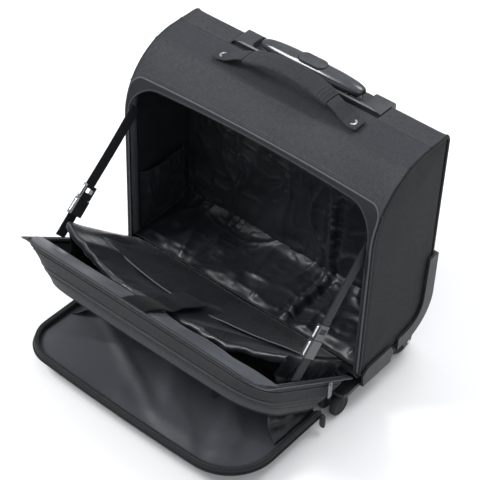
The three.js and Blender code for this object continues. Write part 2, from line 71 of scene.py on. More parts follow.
SHELL_ABOVE_FLOOR = 58
FRONT_CENTRE = (SHELL_FRONT + FRONT_TOP_RADIUS, SHELL_HEIGHT - FRONT_TOP_RADIUS)
SIDES = (("left", -1), ("right", 1))
PANEL_THICKNESS = 2.4
SIDE_INSET = 4.4
LINING_INSET = 6.6
LINING_HALF_WIDTH = 209
PANEL_EDGE = {"half": 213, "bottom": 10, "corner": 297, "crown": 301, "round": 18, "foot": 6}
OPENING = {"half": 206, "bottom": 10, "corner": 287, "crown": 294, "round": 40, "foot": 6}
DOOR_TAPE = {"half": 213, "bottom": 10, "corner": 284, "crown": 292, "round": 46, "foot": 6}
DOOR_PIVOT = (-84, 3)
DOOR_OPEN = 55
FLAP_PIVOT = (-136, 32)
FLAP_OPEN = 34
DOOR_FACE = -134
# Seams of the door's gusset, as shares of the way from its rim to its face
GUSSET_SEAMS = (0.12, 0.52, 0.66)
GUSSET_SPLIT = 0.54
DOOR_RINGS = [
    {"y": -40, "half": 215, "bottom": 3.6, "corner": 297, "crown": 301, "round": 30, "foot": 40},
    {"y": -62, "half": 215, "bottom": 3.6, "corner": 288, "crown": 294, "round": 44, "foot": 40},
    {"y": -82, "half": 214, "bottom": 3.6, "corner": 268, "crown": 274, "round": 52, "foot": 42},
    {"y": -96, "half": 211, "bottom": 4, "corner": 251, "crown": 257, "round": 56, "foot": 44},
    {"y": DOOR_FACE, "half": 202, "bottom": 33, "corner": 206, "crown": 212, "round": 60, "foot": 46},
]
FLAP_OUTLINE = {"half": 202, "bottom": 34, "corner": 214, "crown": 219, "round": 50, "right": 72, "foot": 6}
STAYS = {
    "left": {"side": -1, "x": 201.5, "door": (-228, 112), "shell": (-68, 248)},
    "right": {"side": 1, "x": 201.5, "door": (-212, 92.6), "shell": (-68, 238)},
}
# Section of the tray lining, from the face's foot to the rim: Y and Z
TRAY_PROFILE = [[DOOR_FACE + 4.2, 37.5], [DOOR_FACE + 4.2, 140], [-126, 160], [-112, 178], [-97, 189],
                [-86, 198], [-81, 212], [-79.5, 230], [-80.5, 246], [-84, 262]]
# The strap's way from the rim over the organizer's top edge: Y and Z
STRAP_PATH = [[-80, 260], [-77, 246], [-76, 230], [-77.5, 212], [-80, 200], [-80.5, 192], [-78, 184],
              [-75, 174], [-74.5, 150], [-73.5, 118]]
# Section of the flap's raised rim: share of the way inwards, and Y
RIM_SECTION = [(0.0, -145.6), (-0.02, -142.5), (0.02, -138.4), (0.12, -136.2), (0.35, -135.2), (0.55, -135.9),
               (0.66, -137.4), (0.78, -136.6), (0.92, -137.6), (1.0, -141.0), (1.02, -144.6)]
CARRY_END_PATH = [[121, 339.4], [110, 339.6], [99, 342], [89, 347.5], [80, 352.6], [71.6, 355.2]]
ORGANIZER_SEAM = 12
# Soft folds of the flap's lining: x, z, lean in radians, width and height
FLAP_FOLDS = [(10, 120, 0.75, 15, 8.0), (-120, 110, 1.15, 10, 5.5), (120, 120, 0.3, 16, 7.0)]
BEZEL = {"half": 125, "apron": 312}

SHIFT_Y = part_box("back_panel")[1].y * 1000 - SHELL_BACK
DOOR_AXIS = np.array([0, DOOR_PIVOT[0], DOOR_PIVOT[1]], float)
FLAP_AXIS = np.array([0, FLAP_PIVOT[0], FLAP_PIVOT[1]], float)


def in_row(points):
    """Case frame in millimetres to the row frame in metres."""
    return (np.asarray(points, float) + (0, SHIFT_Y, SHELL_ABOVE_FLOOR)) / 1000


def turn_x(points, centre, degrees):
    a = math.radians(degrees)
    turn = np.array([[1, 0, 0], [0, math.cos(a), -math.sin(a)], [0, math.sin(a), math.cos(a)]])
    return (np.asarray(points, float) - centre) @ turn.T + centre


def door_open(points):
    return turn_x(points, DOOR_AXIS, DOOR_OPEN)


def flap_open(points):
    return door_open(turn_x(points, FLAP_AXIS, FLAP_OPEN))


def at_rest(points):
    return np.asarray(points, float)


# Noise and folds


def noise(points, seed=0.0):
    """Smooth noise from -1 to 1 at each point."""
    p = np.asarray(points, float) + seed * 17.31
    cell = np.floor(p).astype(np.int64)
    f = p - cell
    f = f * f * (3 - 2 * f)
    total = np.zeros(len(p))
    for dx in (0, 1):
        for dy in (0, 1):
            for dz in (0, 1):
                a, b, c = cell[:, 0] + dx, cell[:, 1] + dy, cell[:, 2] + dz
                n = (a * 73856093) ^ (b * 19349663) ^ (c * 83492791)
                n = (n ^ (n >> 13)) * 1274126177 & 0x7FFFFFFF
                n = (n ^ (n >> 16)) & 0xFFFF
                weight = np.abs(1 - dx - f[:, 0]) * np.abs(1 - dy - f[:, 1]) * np.abs(1 - dz - f[:, 2])
                total += weight * (n / 32767.5 - 1)
    return total


def rough(points, size, seed=0.0, octaves=3):
    total, scale = 0, 1.0
    for i in range(octaves):
        total = total + scale * noise(np.asarray(points) / size * 2**i, seed + i)
        scale *= 0.5
    return total


def smoothstep(t, low=0.0, high=1.0):
    t = np.clip((t - low) / (high - low), 0, 1)
    return t * t * (3 - 2 * t)


def folds(points, across, spacing, seed=0.0, warp=1.2, sharp=1.7, cover=0.0):
    """Ridges that run square to the direction across, wander and fade in and out: 0 to 1."""
    p = np.asarray(points, float) / spacing
    across = np.array(across, float) / np.linalg.norm(across)
    phase = p @ across + warp * noise(p * 0.4, seed) + 0.35 * warp * noise(p * 1.1, seed + 3)
    ridge = 1 - 2 * np.abs(phase % 1 - 0.5)
    mask = smoothstep(noise(p * 0.45, seed + 9), -0.35 - cover, 0.5 - cover)
    return ridge**sharp * mask


def creases(points, size, seed, stretch=(1, 1, 1)):
    """Irregular ridges with no beat: 0 to 1."""
    p = np.asarray(points, float) * stretch / size
    p = p + 0.6 * np.stack([noise(p * 0.7, seed + 20 + i) for i in range(3)], 1)
    return (1 - np.abs(noise(p, seed))) ** 5


# Meshes


def grid_quads(rows, columns, closed=False):
    index = np.arange(rows * columns).reshape(rows, columns)
    if closed:
        index = np.concatenate([index, index[:, :1]], 1)
    corners = [index[:-1, :-1], index[:-1, 1:], index[1:, 1:], index[1:, :-1]]
    return np.stack(corners, -1).reshape(-1, 4)


def unit(vectors):
    return vectors / np.maximum(np.linalg.norm(vectors, axis=-1, keepdims=True), 1e-9)


def lengths(points, axis=0):
    """Distances from each point to the next one along an axis of a path or a grid."""
    return np.linalg.norm(np.diff(points, axis=axis), axis=-1)


def running(steps):
    """The running total of some steps, from 0."""
    return np.concatenate([[0], np.cumsum(steps)])


def point_normals(points, quads):
    a, b, c, d = (points[quads[:, i]] for i in range(4))
    face = np.cross(c - a, d - b)
    normals = np.zeros_like(points)
    for i in range(4):
        np.add.at(normals, quads[:, i], face)
    return unit(normals)


def arc_lengths(grid):
    """Millimetre coordinates over a grid of points, for the weave."""
    v = running(lengths(grid, 0).mean(1))
    u = running(lengths(grid, 1).mean(0))
    return np.stack(np.meshgrid(u, v), -1).reshape(-1, 2)


def facing_out(points, faces):
    """The faces of a closed body, all turned round if they face inwards."""
    points = np.asarray(points, float)
    volume = 0.0
    by_size = {}
    for face in faces:
        by_size.setdefault(len(face), []).append(face)
    for size, group in by_size.items():
        group = np.asarray(group)
        for k in range(1, size - 1):
            a, b, c = points[group[:, 0]], points[group[:, k]], points[group[:, k + 1]]
            volume += (a * np.cross(b, c)).sum()
    return faces if volume > 0 else [list(face)[::-1] for face in faces]


def make(name, points, faces, material, body, slot=None, replaces=(), uv=None, turn=at_rest, smooth=True):
    """One piece from points in millimetres. It rides on a body, unless body is None."""
    mesh = bpy.data.meshes.new(name)
    faces = facing_out(points, faces)
    mesh.from_pydata(in_row(turn(points)).tolist(), [], [[int(i) for i in f] for f in faces])
    if uv is None:
        p = np.asarray(points, float)
        uv = np.stack([p[:, 0] + p[:, 1] * 0.3, p[:, 2] + p[:, 1]], 1)
    layer = mesh.uv_layers.new(name="Cloth")
    corner = np.zeros(len(mesh.loops), np.int32)
    mesh.loops.foreach_get("vertex_index", corner)
    layer.data.foreach_set("uv", (np.asarray(uv, float)[corner] / 100).astype(np.float32).ravel())
    mesh.materials.append(material)
    if smooth:
        mesh.shade_smooth()
    mesh.update()
    piece = bpy.data.objects.new(name, mesh)
    bpy.context.scene.collection.objects.link(piece)
    if body:
        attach(piece, body)
    if replaces:
        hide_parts(*replaces)
    return piece


def slab(points, quads, thickness, uv=None, edge=0.45):
    """Closes a skin into a thin solid: its back lies thickness behind, and its border is rounded."""
    points = np.asarray(points, float)
    used = np.unique(quads)
    renumber = -np.ones(len(points), int)
    renumber[used] = np.arange(len(used))
    points, quads = points[used], renumber[quads]
    uv = None if uv is None else np.asarray(uv)[used]
    normals = point_normals(points, quads)
    count = len(points)
    sides = np.concatenate([quads[:, [i, (i + 1) % 4]] for i in range(4)])
    key = np.sort(sides, 1)
    _, where, uses = np.unique(key, axis=0, return_inverse=True, return_counts=True)
    border = sides[uses[where.ravel()] == 1]
    outward = np.zeros_like(points)
    run = points[border[:, 1]] - points[border[:, 0]]
    push = np.cross(run, normals[border[:, 0]])
    np.add.at(outward, border[:, 0], push)
    np.add.at(outward, border[:, 1], push)
    rim = np.unique(border)
    outward = unit(outward[rim])
    middle = points[rim] - normals[rim] * thickness / 2 + outward * edge * thickness
    place = -np.ones(count, int)
    place[rim] = 2 * count + np.arange(len(rim))
    a, b = border[:, 0], border[:, 1]
    faces = np.concatenate([
        quads,
        quads[:, ::-1] + count,
        np.stack([b, a, place[a], place[b]], 1),
        np.stack([place[b], place[a], a + count, b + count], 1),
    ])
    everything = np.concatenate([points, points - normals * thickness, middle])
    coordinates = None if uv is None else np.concatenate([uv, uv, uv[rim]])
    return everything, faces, coordinates


def sheet(name, grid, thickness, material, body, keep=None, flip=False, closed=False, **options):
    """A thin solid over a grid of points. keep says which of the grid's faces are there."""
    grid = np.asarray(grid, float)
    rows, columns = grid.shape[:2]
    quads = grid_quads(rows, columns, closed)
    if keep is not None:
        quads = quads[np.asarray(keep).ravel()]
    if flip:
        quads = quads[:, ::-1]
    points, faces, uv = slab(grid.reshape(-1, 3), quads, thickness, arc_lengths(grid))
    return make(name, points, faces, material, body, uv=uv, **options)


def declared(piece, width, length, held, rests_on=(), share=None):
    """Hands the piece back unchanged; it does not mark it as cloth or record its cut of width by length in
    millimetres.

    share, how much of that rectangle the cut piece fills, is not used.
    """
    return piece


def tube_mesh(path, radius, closed=False, sides=10, flat=1.0, up=None):
    """Points and faces of a round tube along a path. flat squeezes it along up."""
    path = np.asarray(path, float)
    if closed:
        ahead = np.roll(path, -1, 0) - np.roll(path, 1, 0)
    else:
        ahead = np.gradient(path, axis=0)
    ahead /= np.linalg.norm(ahead, axis=1, keepdims=True)
    side = np.zeros_like(path)
    start = np.array(up if up is not None else (0.3, 0.2, 0.9), float)
    last = start - ahead[0] * (start @ ahead[0])
    for i, direction in enumerate(ahead):
        base = start if up is not None else last
        last = base - direction * (base @ direction)
        last /= np.linalg.norm(last)
        side[i] = last
    other = np.cross(ahead, side)
    angle = np.linspace(0, 2 * math.pi, sides, endpoint=False)
    radius = np.broadcast_to(np.asarray(radius, float), (len(path),))[:, None, None]
    ring = side[:, None] * np.cos(angle)[None, :, None] * flat + other[:, None] * np.sin(angle)[None, :, None]
    points = (path[:, None] + radius * ring).reshape(-1, 3)
    rows = len(path)
    quads = grid_quads(rows + (1 if closed else 0), sides, closed=True) % (rows * sides)
    faces = [list(q) for q in quads[:, ::-1]]
    if not closed:
        faces.append(list(range(sides)))
        faces.append(list(range(rows * sides - 1, (rows - 1) * sides - 1, -1)))
    length = running(lengths(path))
    uv = np.stack(np.meshgrid(angle * float(radius.mean()), length), -1).reshape(-1, 2)
    return points, faces, uv


def joined(parts):
    """One mesh from several (points, faces, uv) parts."""
    points, faces, uv, start = [], [], [], 0
    for p, f, t in parts:
        points.append(np.asarray(p, float))
        faces.extend([[int(i) + start for i in face] for face in f])
        uv.append(np.zeros((len(p), 2)) if t is None else np.asarray(t, float))
        start += len(p)
    return np.concatenate(points), faces, np.concatenate(uv)


def tube(name, path, radius, material, body, closed=False, sides=10, **options):
    points, faces, uv = tube_mesh(path, radius, closed, sides)
    return make(name, points, faces, material, body, uv=uv, **options)


def resampled(path, step=None, count=None):
    path = np.asarray(path, float)
    length = running(lengths(path))
    count = count or max(2, int(round(length[-1] / step)) + 1)
    at = np.linspace(0, length[-1], count)
    return np.stack([np.interp(at, length, path[:, k]) for k in range(path.shape[1])], 1)


def along_path(path, normal, pitch):
    """Evenly spaced points of a path, and the directions along it, across it and up from it."""
    line = resampled(path, step=pitch)
    normal = np.asarray(normal, float)
    normals = resampled(normal, count=len(line)) if normal.ndim == 2 else np.tile(normal, (len(line), 1))
    ahead = unit(np.gradient(line, axis=0))
    side = unit(np.cross(ahead, normals))
    return line, ahead, side, np.cross(side, ahead)


def stitch_mesh(path, normal, pitch=4.2, long=3.0, thick=0.55):
    """A row of raised thread stitches along a path."""
    line, ahead, side, lift = along_path(path, normal, pitch)
    points, faces = [], []
    for i, p in enumerate(line):
        a, s, n = ahead[i] * long / 2, side[i] * thick, lift[i] * thick
        start = 10 * i
        for along, size in ((-0.6, 1.0), (0.6, 1.0)):
            end = p + a * along
            points += [end + s * size, end + n * size, end - s * size, end - n]
        points += [p - a - n * 0.6, p + a - n * 0.6]
        for k in range(4):
            after = (k + 1) % 4
            faces.append([start + k, start + 4 + k, start + 4 + after, start + after])
            faces.append([start + 8, start + k, start + after])
            faces.append([start + 9, start + 4 + after, start + 4 + k])
    return np.array(points), faces, np.array(points)[:, :2]


def teeth_mesh(path, normal, pitch=3.0, wide=2.6, long=1.9, high=1.1):
    """Zip teeth along a path, as small rounded blocks."""
    line, ahead, side, lift = along_path(path, normal, pitch)
    points, faces = [], []
    foot = [(-1, -1, 0), (1, -1, 0), (1, 1, 0), (-1, 1, 0)]
    top = [(-0.6, -0.7, 1), (0.6, -0.7, 1), (0.6, 0.7, 1), (-0.6, 0.7, 1)]
    for i, p in enumerate(line):
        start = 8 * i
        for a, s, h in foot + top:
            points.append(p + ahead[i] * a * long / 2 + side[i] * s * wide / 2 + lift[i] * (h * high))
        faces.append([start + 3, start + 2, start + 1, start])
        faces.append([start + 4, start + 5, start + 6, start + 7])
        for k in range(4):
            after = (k + 1) % 4
            faces.append([start + k, start + after, start + 4 + after, start + 4 + k])
    return np.array(points), faces, np.array(points)[:, :2]


def rows_piece(name, rows, material, body, turn=at_rest):
    """One piece of stitches or teeth, from its rows."""
    points, faces, uv = joined(rows)
    return make(name, points, faces, material, body, uv=uv, turn=turn, slot="webbing")


# Outlines


def arc(cy, cz, radius, start, end, count=12):
    a = np.radians(np.linspace(start, end, count + 1))
    return np.stack([cy + radius * np.cos(a), cz + radius * np.sin(a)], 1)


def shell_outline(offset):
    """The shell's side outline in Y and Z, moved outwards by offset."""

    def grown(r):
        return max(r + offset, 0.5)

    return np.concatenate([
        arc(SHELL_BACK - REAR_BOTTOM_RADIUS, REAR_BOTTOM_RADIUS, grown(REAR_BOTTOM_RADIUS), -90, 0, 16),
        arc(SHELL_BACK - REAR_TOP_RADIUS, SHELL_HEIGHT - REAR_TOP_RADIUS, grown(REAR_TOP_RADIUS), 0, 90, 6),
        arc(*FRONT_CENTRE, grown(FRONT_TOP_RADIUS), 90, 180, 24),
        arc(SHELL_FRONT + FRONT_BOTTOM_RADIUS, FRONT_BOTTOM_RADIUS, grown(FRONT_BOTTOM_RADIUS), 180, 270, 4),
    ])


def closed_loop(outline, step):
    line = resampled(np.concatenate([outline, outline[:1]]), step=step)
    return line[:-1]


def front_y(z, offset=0.0):
    """Where the shell's front lies at height z."""
    z = np.asarray(z, float)
    centre = FRONT_CENTRE[1]
    rise = np.clip(z - centre, 0, FRONT_TOP_RADIUS + offset - 0.01)
    curved = SHELL_FRONT + FRONT_TOP_RADIUS - np.sqrt((FRONT_TOP_RADIUS + offset) ** 2 - rise**2)
    return np.where(z > centre, curved, SHELL_FRONT - offset)


def back_y(z, offset=0.0):
    """Where the shell's back lies at height z."""
    z = np.asarray(z, float)
    low = np.clip(REAR_BOTTOM_RADIUS - z, 0, REAR_BOTTOM_RADIUS + offset - 0.01)
    top = np.clip(z - (SHELL_HEIGHT - REAR_TOP_RADIUS), 0, REAR_TOP_RADIUS + offset - 0.01)
    lower = SHELL_BACK - REAR_BOTTOM_RADIUS + np.sqrt((REAR_BOTTOM_RADIUS + offset) ** 2 - low**2)
    upper = SHELL_BACK - REAR_TOP_RADIUS + np.sqrt((REAR_TOP_RADIUS + offset) ** 2 - top**2)
    return np.minimum(lower, upper)


def front_normals(path):
    """Outward directions of the shell's front at points of a path."""
    z = np.asarray(path)[:, 2]
    rise = np.clip((z - FRONT_CENTRE[1]) / FRONT_TOP_RADIUS, 0, 0.98)
    return np.stack([np.zeros(len(z)), -np.sqrt(1 - rise**2), rise], 1)


def at_depth(line, y):
    """Points over a line in X and Z, at depth y."""
    return np.column_stack([line[:, 0], np.broadcast_to(y, len(line)), line[:, 1]])


def on_front(line, offset):
    """Points over a line in X and Z, at offset from the shell's front."""
    return at_depth(line, front_y(line[:, 1], offset))


def top_of(o, x, inset=0.0):
    half = o["half"] - inset
    return o["corner"] - inset + (o["crown"] - o["corner"]) * (1 - (np.asarray(x) / half) ** 2)


def over_arch(o, inset=0.0, legs=24, bends=12, top=40):
    """X and Z from the right leg's foot, round the right corner, along the top and down the left leg."""
    half = o["half"] - inset
    right = max(o.get("right", o["round"]) - inset, 1)
    left = max(o["round"] - inset, 1)
    bottom = o["bottom"] + inset
    angle = np.linspace(0, math.pi / 2, bends + 1)

    def bend(r):
        x = half - r + r * np.cos(angle)
        return np.stack([x, top_of(o, x, inset) - r * (1 - np.sin(angle))], 1)

    r, l = bend(right), bend(left)
    l[:, 0] *= -1
    leg_r = np.stack([np.full(legs, half), np.linspace(bottom, r[0, 1], legs + 1)[:-1]], 1)
    leg_l = np.stack([np.full(legs, -half), np.linspace(bottom, l[0, 1], legs + 1)[:-1]], 1)
    x = np.linspace(half - right, -(half - left), top + 1)[1:-1]
    middle = np.stack([x, top_of(o, x, inset)], 1)
    return np.concatenate([leg_r, r, middle, l[::-1], leg_l[::-1]])


def round_arch(o, inset=0.0, bottom_count=40, feet=8, **counts):
    """The whole outline: over the arch, then along the bottom from left to right."""
    half = o["half"] - inset
    foot = max(o["foot"] - inset, 1)
    raised = dict(o, bottom=o["bottom"] + foot)
    over = over_arch(raised, inset, **counts)
    bottom = o["bottom"] + inset
    turn = np.linspace(0, math.pi / 2, feet + 1)[1:]
    left = np.stack([-half + foot * (1 - np.cos(turn)), bottom + foot * (1 - np.sin(turn))], 1)
    right = left[::-1].copy()
    right[:, 0] *= -1
    x = np.linspace(left[-1, 0], right[0, 0], bottom_count + 1)[1:-1]
    middle = np.stack([x, np.full(len(x), bottom)], 1)
    return np.concatenate([over, left, middle, right[:-1]])


def edge_distance(points, outline):
    """How far points lie from the edge of an arched outline, in the XZ plane."""
    line = over_arch(outline)
    flat = points[:, [0, 2]]
    nearest = np.sqrt(((flat[:, None] - line[None]) ** 2).sum(-1)).min(1)
    return np.minimum(nearest, points[:, 2] - outline["bottom"])


def arch_grid(o, inset, y, columns=48, rows=40, bends=14):
    """Points over an arched outline, at depth y."""
    half = o["half"] - inset
    right = max(o.get("right", o["round"]) - inset, 1)
    left = max(o["round"] - inset, 1)
    big = max(left, right)
    bottom, corner = o["bottom"] + inset, o["corner"] - inset
    levels = np.concatenate([
        np.linspace(bottom, corner - big, rows + 1)[:-1],
        corner - big + big * np.sin(np.linspace(0, math.pi / 2, bends + 1)),
    ])
    u = np.linspace(-1, 1, columns + 1)
    grid = np.zeros((len(levels), columns + 1, 3))
    for i, z in enumerate(levels):
        ends = []
        for r in (left, right):
            rise = max(0.0, z - (corner - r))
            ends.append(half - r + math.sqrt(max(r * r - rise * rise, 0)))
        x = np.where(u < 0, u * ends[0], u * ends[1])
        lift = (o["crown"] - o["corner"]) * (1 - (x / half) ** 2) * (z - bottom) / (corner - bottom)
        grid[i] = np.stack([x, np.full(len(u), y), z + lift], 1)
    return grid


# Materials


class Shader:
    """A node material with short ways to add and link nodes."""

    def __init__(self, name):
        self.material = bpy.data.materials.new(name)
        self.material.use_nodes = True
        self.tree = self.material.node_tree
        self.surface = self.tree.nodes["Principled BSDF"]

    def node(self, kind, settings=None, **inputs):
        made = self.tree.nodes.new(kind)
        for key, value in (settings or {}).items():
            setattr(made, key, value)
        for key, value in inputs.items():
            self.put(made, key.replace("_", " "), value)
        return made

    def put(self, node, key, value):
        socket = node.inputs[int(key)] if key.isdigit() else node.inputs[key]
        if isinstance(value, bpy.types.NodeSocket):
            self.tree.links.new(value, socket)
        else:
            socket.default_value = value

    def sum(self, operation, a, b=0.0):
        made = self.node("ShaderNodeMath", {"operation": operation})
        self.put(made, "0", a)
        self.put(made, "1", b)
        return made.outputs[0]

    def scaled(self, vector, scale):
        made = self.node("ShaderNodeVectorMath", {"operation": "MULTIPLY"})
        self.put(made, "0", vector)
        self.put(made, "1", scale)
        return made.outputs[0]

    def grain(self, vector, scale, detail=2.0, rough=0.55):
        made = self.node("ShaderNodeTexNoise", Vector=vector, Scale=scale, Detail=detail, Roughness=rough)
        return made.outputs[0]

    def blend(self, factor, low, high):
        made = self.node("ShaderNodeMix", {"data_type": "RGBA"})
        self.put(made, "0", factor)
        self.put(made, "6", (*low, 1))
        self.put(made, "7", (*high, 1))
        return made.outputs[2]

    def spread(self, value, low, high, to_low, to_high):
        made = self.node("ShaderNodeMapRange")
        for key, number in (("0", value), ("1", low), ("2", high), ("3", to_low), ("4", to_high)):
            self.put(made, key, number)
        return made.outputs[0]

    def bump(self, height, strength, distance):
        made = self.node("ShaderNodeBump", Strength=strength, Distance=distance, Height=height)
        self.put(self.surface, "Normal", made.outputs[0])

    def set(self, **values):
        for key, value in values.items():
            self.put(self.surface, key.replace("_", " "), value)


def shade(colour, factor):
    return tuple(c * factor for c in colour)


def cloth_material(name, colour, pitch=1.2, roughness=0.8, contrast=0.5, strength=0.5, relief=0.25,
                   ribs=False, shine=0.22):
    """Woven cloth: threads over and under at the pitch in millimetres, with slubs along both threads."""
    s = Shader(name)
    cloth = s.node("ShaderNodeUVMap", {"uv_map": "Cloth"}).outputs[0]
    apart = s.node("ShaderNodeSeparateXYZ", Vector=cloth)
    turns = 2 * math.pi * 100 / pitch
    across = s.sum("SINE", s.sum("MULTIPLY", apart.outputs[0], turns))
    along = s.sum("SINE", s.sum("MULTIPLY", apart.outputs[1], turns if not ribs else turns * 0.5))
    over = s.sum("MULTIPLY", across, along)
    weave = s.spread(over, -1.0, 1.0, 0.0, 1.0)
    warp = s.grain(s.scaled(cloth, (1.0, 0.12, 1.0)), 90.0, 2.0)
    weft = s.grain(s.scaled(cloth, (0.12, 1.0, 1.0)), 90.0, 2.0)
    slub = s.sum("MULTIPLY", s.sum("ADD", warp, weft), 0.5)
    worn = s.grain(s.node("ShaderNodeTexCoord").outputs["Object"], 9.0, 3.0)
    factor = s.sum("ADD", s.sum("MULTIPLY", weave, 0.3), s.spread(slub, 0.35, 0.65, 0.0, 0.5))
    factor = s.sum("ADD", factor, s.spread(worn, 0.3, 0.7, 0.0, 0.2))
    s.set(Base_Color=s.blend(factor, shade(colour, 1 - contrast), shade(colour, 1 + contrast)))
    s.set(Roughness=s.spread(slub, 0.35, 0.65, roughness + 0.06, roughness - 0.08))
    s.set(Sheen_Weight=0.04, Sheen_Roughness=0.45, Specular_IOR_Level=shine)
    height = s.sum("ADD", s.sum("MULTIPLY", weave, 0.55), s.sum("MULTIPLY", slub, 0.6))
    s.bump(height, strength, relief / 1000)
    return s.material


def satin_material(name, colour, roughness=0.42, crease=0.4, sheen=0.1):
    """Thin shiny lining cloth: a fine twill under a faint crinkle."""
    s = Shader(name)
    cloth = s.node("ShaderNodeUVMap", {"uv_map": "Cloth"}).outputs[0]
    apart = s.node("ShaderNodeSeparateXYZ", Vector=cloth)
    slant = s.sum("ADD", apart.outputs[0], apart.outputs[1])
    twill = s.sum("SINE", s.sum("MULTIPLY", slant, 2 * math.pi * 140))
    place = s.node("ShaderNodeTexCoord").outputs["Object"]
    crinkle = s.grain(s.scaled(place, (1.0, 0.45, 0.8)), 55.0, 1.5, 0.5)
    slub = s.grain(s.scaled(cloth, (1.0, 0.1, 1.0)), 120.0, 2.0)
    patch = s.grain(place, 11.0, 2.0)
    factor = s.sum("ADD", s.sum("MULTIPLY", slub, 0.4), s.spread(patch, 0.3, 0.7, 0.0, 0.6))
    s.set(Base_Color=s.blend(factor, shade(colour, 0.7), shade(colour, 1.3)))
    s.set(Roughness=s.spread(crinkle, 0.3, 0.7, roughness - 0.07, roughness + 0.1))
    s.set(Sheen_Weight=sheen, Sheen_Roughness=0.3)
    height = s.sum("ADD", s.sum("MULTIPLY", twill, 0.02), s.sum("MULTIPLY", crinkle, 1.0))
    s.bump(height, crease, 0.0016)
    return s.material


def plastic_material(name, colour, roughness=0.45, grain=0.35, scale=900.0, coat=0.0):
    """Moulded plastic with a fine spark grain and faint scuffs."""
    s = Shader(name)
    place = s.node("ShaderNodeTexCoord").outputs["Object"]
    spark = s.grain(place, scale, 2.0)
    scuff = s.grain(s.scaled(place, (1.0, 1.0, 0.3)), 60.0, 4.0, 0.65)
    s.set(Base_Color=s.blend(s.spread(scuff, 0.35, 0.7, 0.0, 1.0), shade(colour, 0.85), shade(colour, 1.25)))
    s.set(Roughness=s.spread(scuff, 0.3, 0.7, roughness - 0.05, roughness + 0.09))
    s.set(Coat_Weight=coat, Coat_Roughness=0.12)
    s.bump(spark, grain, 0.0002)
    return s.material


def metal_material(name, colour, roughness=0.3, along=(1.0, 1.0, 0.05), scale=700.0):
    """Drawn or plated metal with fine streaks along it."""
    s = Shader(name)
    place = s.node("ShaderNodeTexCoord").outputs["Object"]
    streak = s.grain(s.scaled(place, along), scale, 3.0, 0.6)
    cloud = s.grain(place, 40.0, 3.0)
    s.set(Base_Color=s.blend(s.spread(cloud, 0.3, 0.7, 0.0, 1.0), shade(colour, 0.88), shade(colour, 1.05)))
    s.set(Metallic=1.0, Roughness=s.spread(streak, 0.3, 0.7, roughness - 0.07, roughness + 0.12))
    s.bump(streak, 0.15, 0.0001)
    return s.material


SHELL_CLOTH = cloth_material("shell_cloth", (0.037, 0.038, 0.0425), pitch=1.3)
BAND_CLOTH = cloth_material("band_cloth", (0.03, 0.0325, 0.0375), pitch=1.3, contrast=0.45)
# The sides, bottom, door face, door rim band and cloth hinge use a much darker copy of the shell cloth:
# painted shade for faces turned away from the lamps.
SHADED_SIDE_CLOTH = cloth_material("side_cloth_painted_shade", (0.012, 0.0125, 0.0145), pitch=1.3)
DOOR_CLOTH = cloth_material("door_cloth", (0.038, 0.038, 0.042), pitch=1.3)
HANDLE_CLOTH = cloth_material("handle_cloth", (0.026, 0.027, 0.031), pitch=1.3)
FLAP_SATIN = cloth_material("flap_satin", (0.06, 0.064, 0.073), pitch=0.7, roughness=0.5, contrast=0.2,
                            strength=0.25, relief=0.12)
LINING_SATIN = satin_material("lining_satin", (0.012, 0.0137, 0.017), roughness=0.43, crease=0.3)
POCKET_SATIN = satin_material("pocket_satin", (0.014, 0.016, 0.019), roughness=0.3, crease=0.25)
PANEL_SATIN = satin_material("panel_satin", (0.011, 0.013, 0.016), roughness=0.35, crease=0.2)
TRAY_SATIN = satin_material("tray_satin", (0.068, 0.073, 0.084), roughness=0.4, crease=0.2)
WEBBING = cloth_material("webbing", (0.014, 0.015, 0.018), pitch=1.9, roughness=0.7, strength=0.8, relief=0.5,
                         ribs=True)
ZIP_TAPE = cloth_material("zip_tape", (0.013, 0.0135, 0.016), pitch=1.0, roughness=0.7, contrast=0.35,
                          relief=0.3)
BINDING = cloth_material("binding", (0.075, 0.079, 0.088), pitch=0.9, roughness=0.5, contrast=0.25,
                         relief=0.2)
PIPING = cloth_material("piping", (0.008, 0.0085, 0.01), pitch=1.0, roughness=0.55, contrast=0.3)
THREAD = cloth_material("thread", (0.07, 0.072, 0.08), pitch=0.5, roughness=0.6, contrast=0.2, relief=0.1)
HOOK_WEBBING = cloth_material("hook_webbing", (0.006, 0.0065, 0.008), pitch=1.9, roughness=0.85, shine=0.1,
                              ribs=True)
TEETH = plastic_material("zip_teeth", (0.03, 0.031, 0.034), roughness=0.35, grain=0.1)
HARD_PLASTIC = plastic_material("hard_plastic", (0.012, 0.0125, 0.014))
BUCKLE_PLASTIC = plastic_material("buckle_plastic", (0.02, 0.021, 0.024), roughness=0.3, grain=0.15)
BEZEL_PLASTIC = plastic_material("bezel_plastic", (0.03, 0.032, 0.036), roughness=0.38, grain=0.2)
GRIP_PLASTIC = plastic_material("grip_plastic", (0.028, 0.031, 0.036), roughness=0.2, grain=0.04, coat=0.5)
BUTTON_PLASTIC = plastic_material("button_plastic", (0.032, 0.035, 0.04), roughness=0.45, grain=0.5,
                                  scale=500.0)
RUBBER = plastic_material("rubber", (0.014, 0.014, 0.015), roughness=0.75, grain=0.6, scale=600.0)
STEEL = metal_material("steel", (0.62, 0.63, 0.65), roughness=0.22, along=(1.0, 1.0, 1.0))
GUNMETAL = metal_material("gunmetal", (0.16, 0.165, 0.18), roughness=0.34, along=(1.0, 1.0, 1.0))
# Bright metal for the thin bars along the buckles' camera-facing edge: painted highlights.
BUCKLE_HIGHLIGHT_METAL = metal_material("buckle_highlight_bars", (0.85, 0.86, 0.88), roughness=0.25, along=(1.0, 1.0, 1.0))
ALUMINIUM = metal_material("aluminium", (0.42, 0.43, 0.45), roughness=0.3)


# Shell


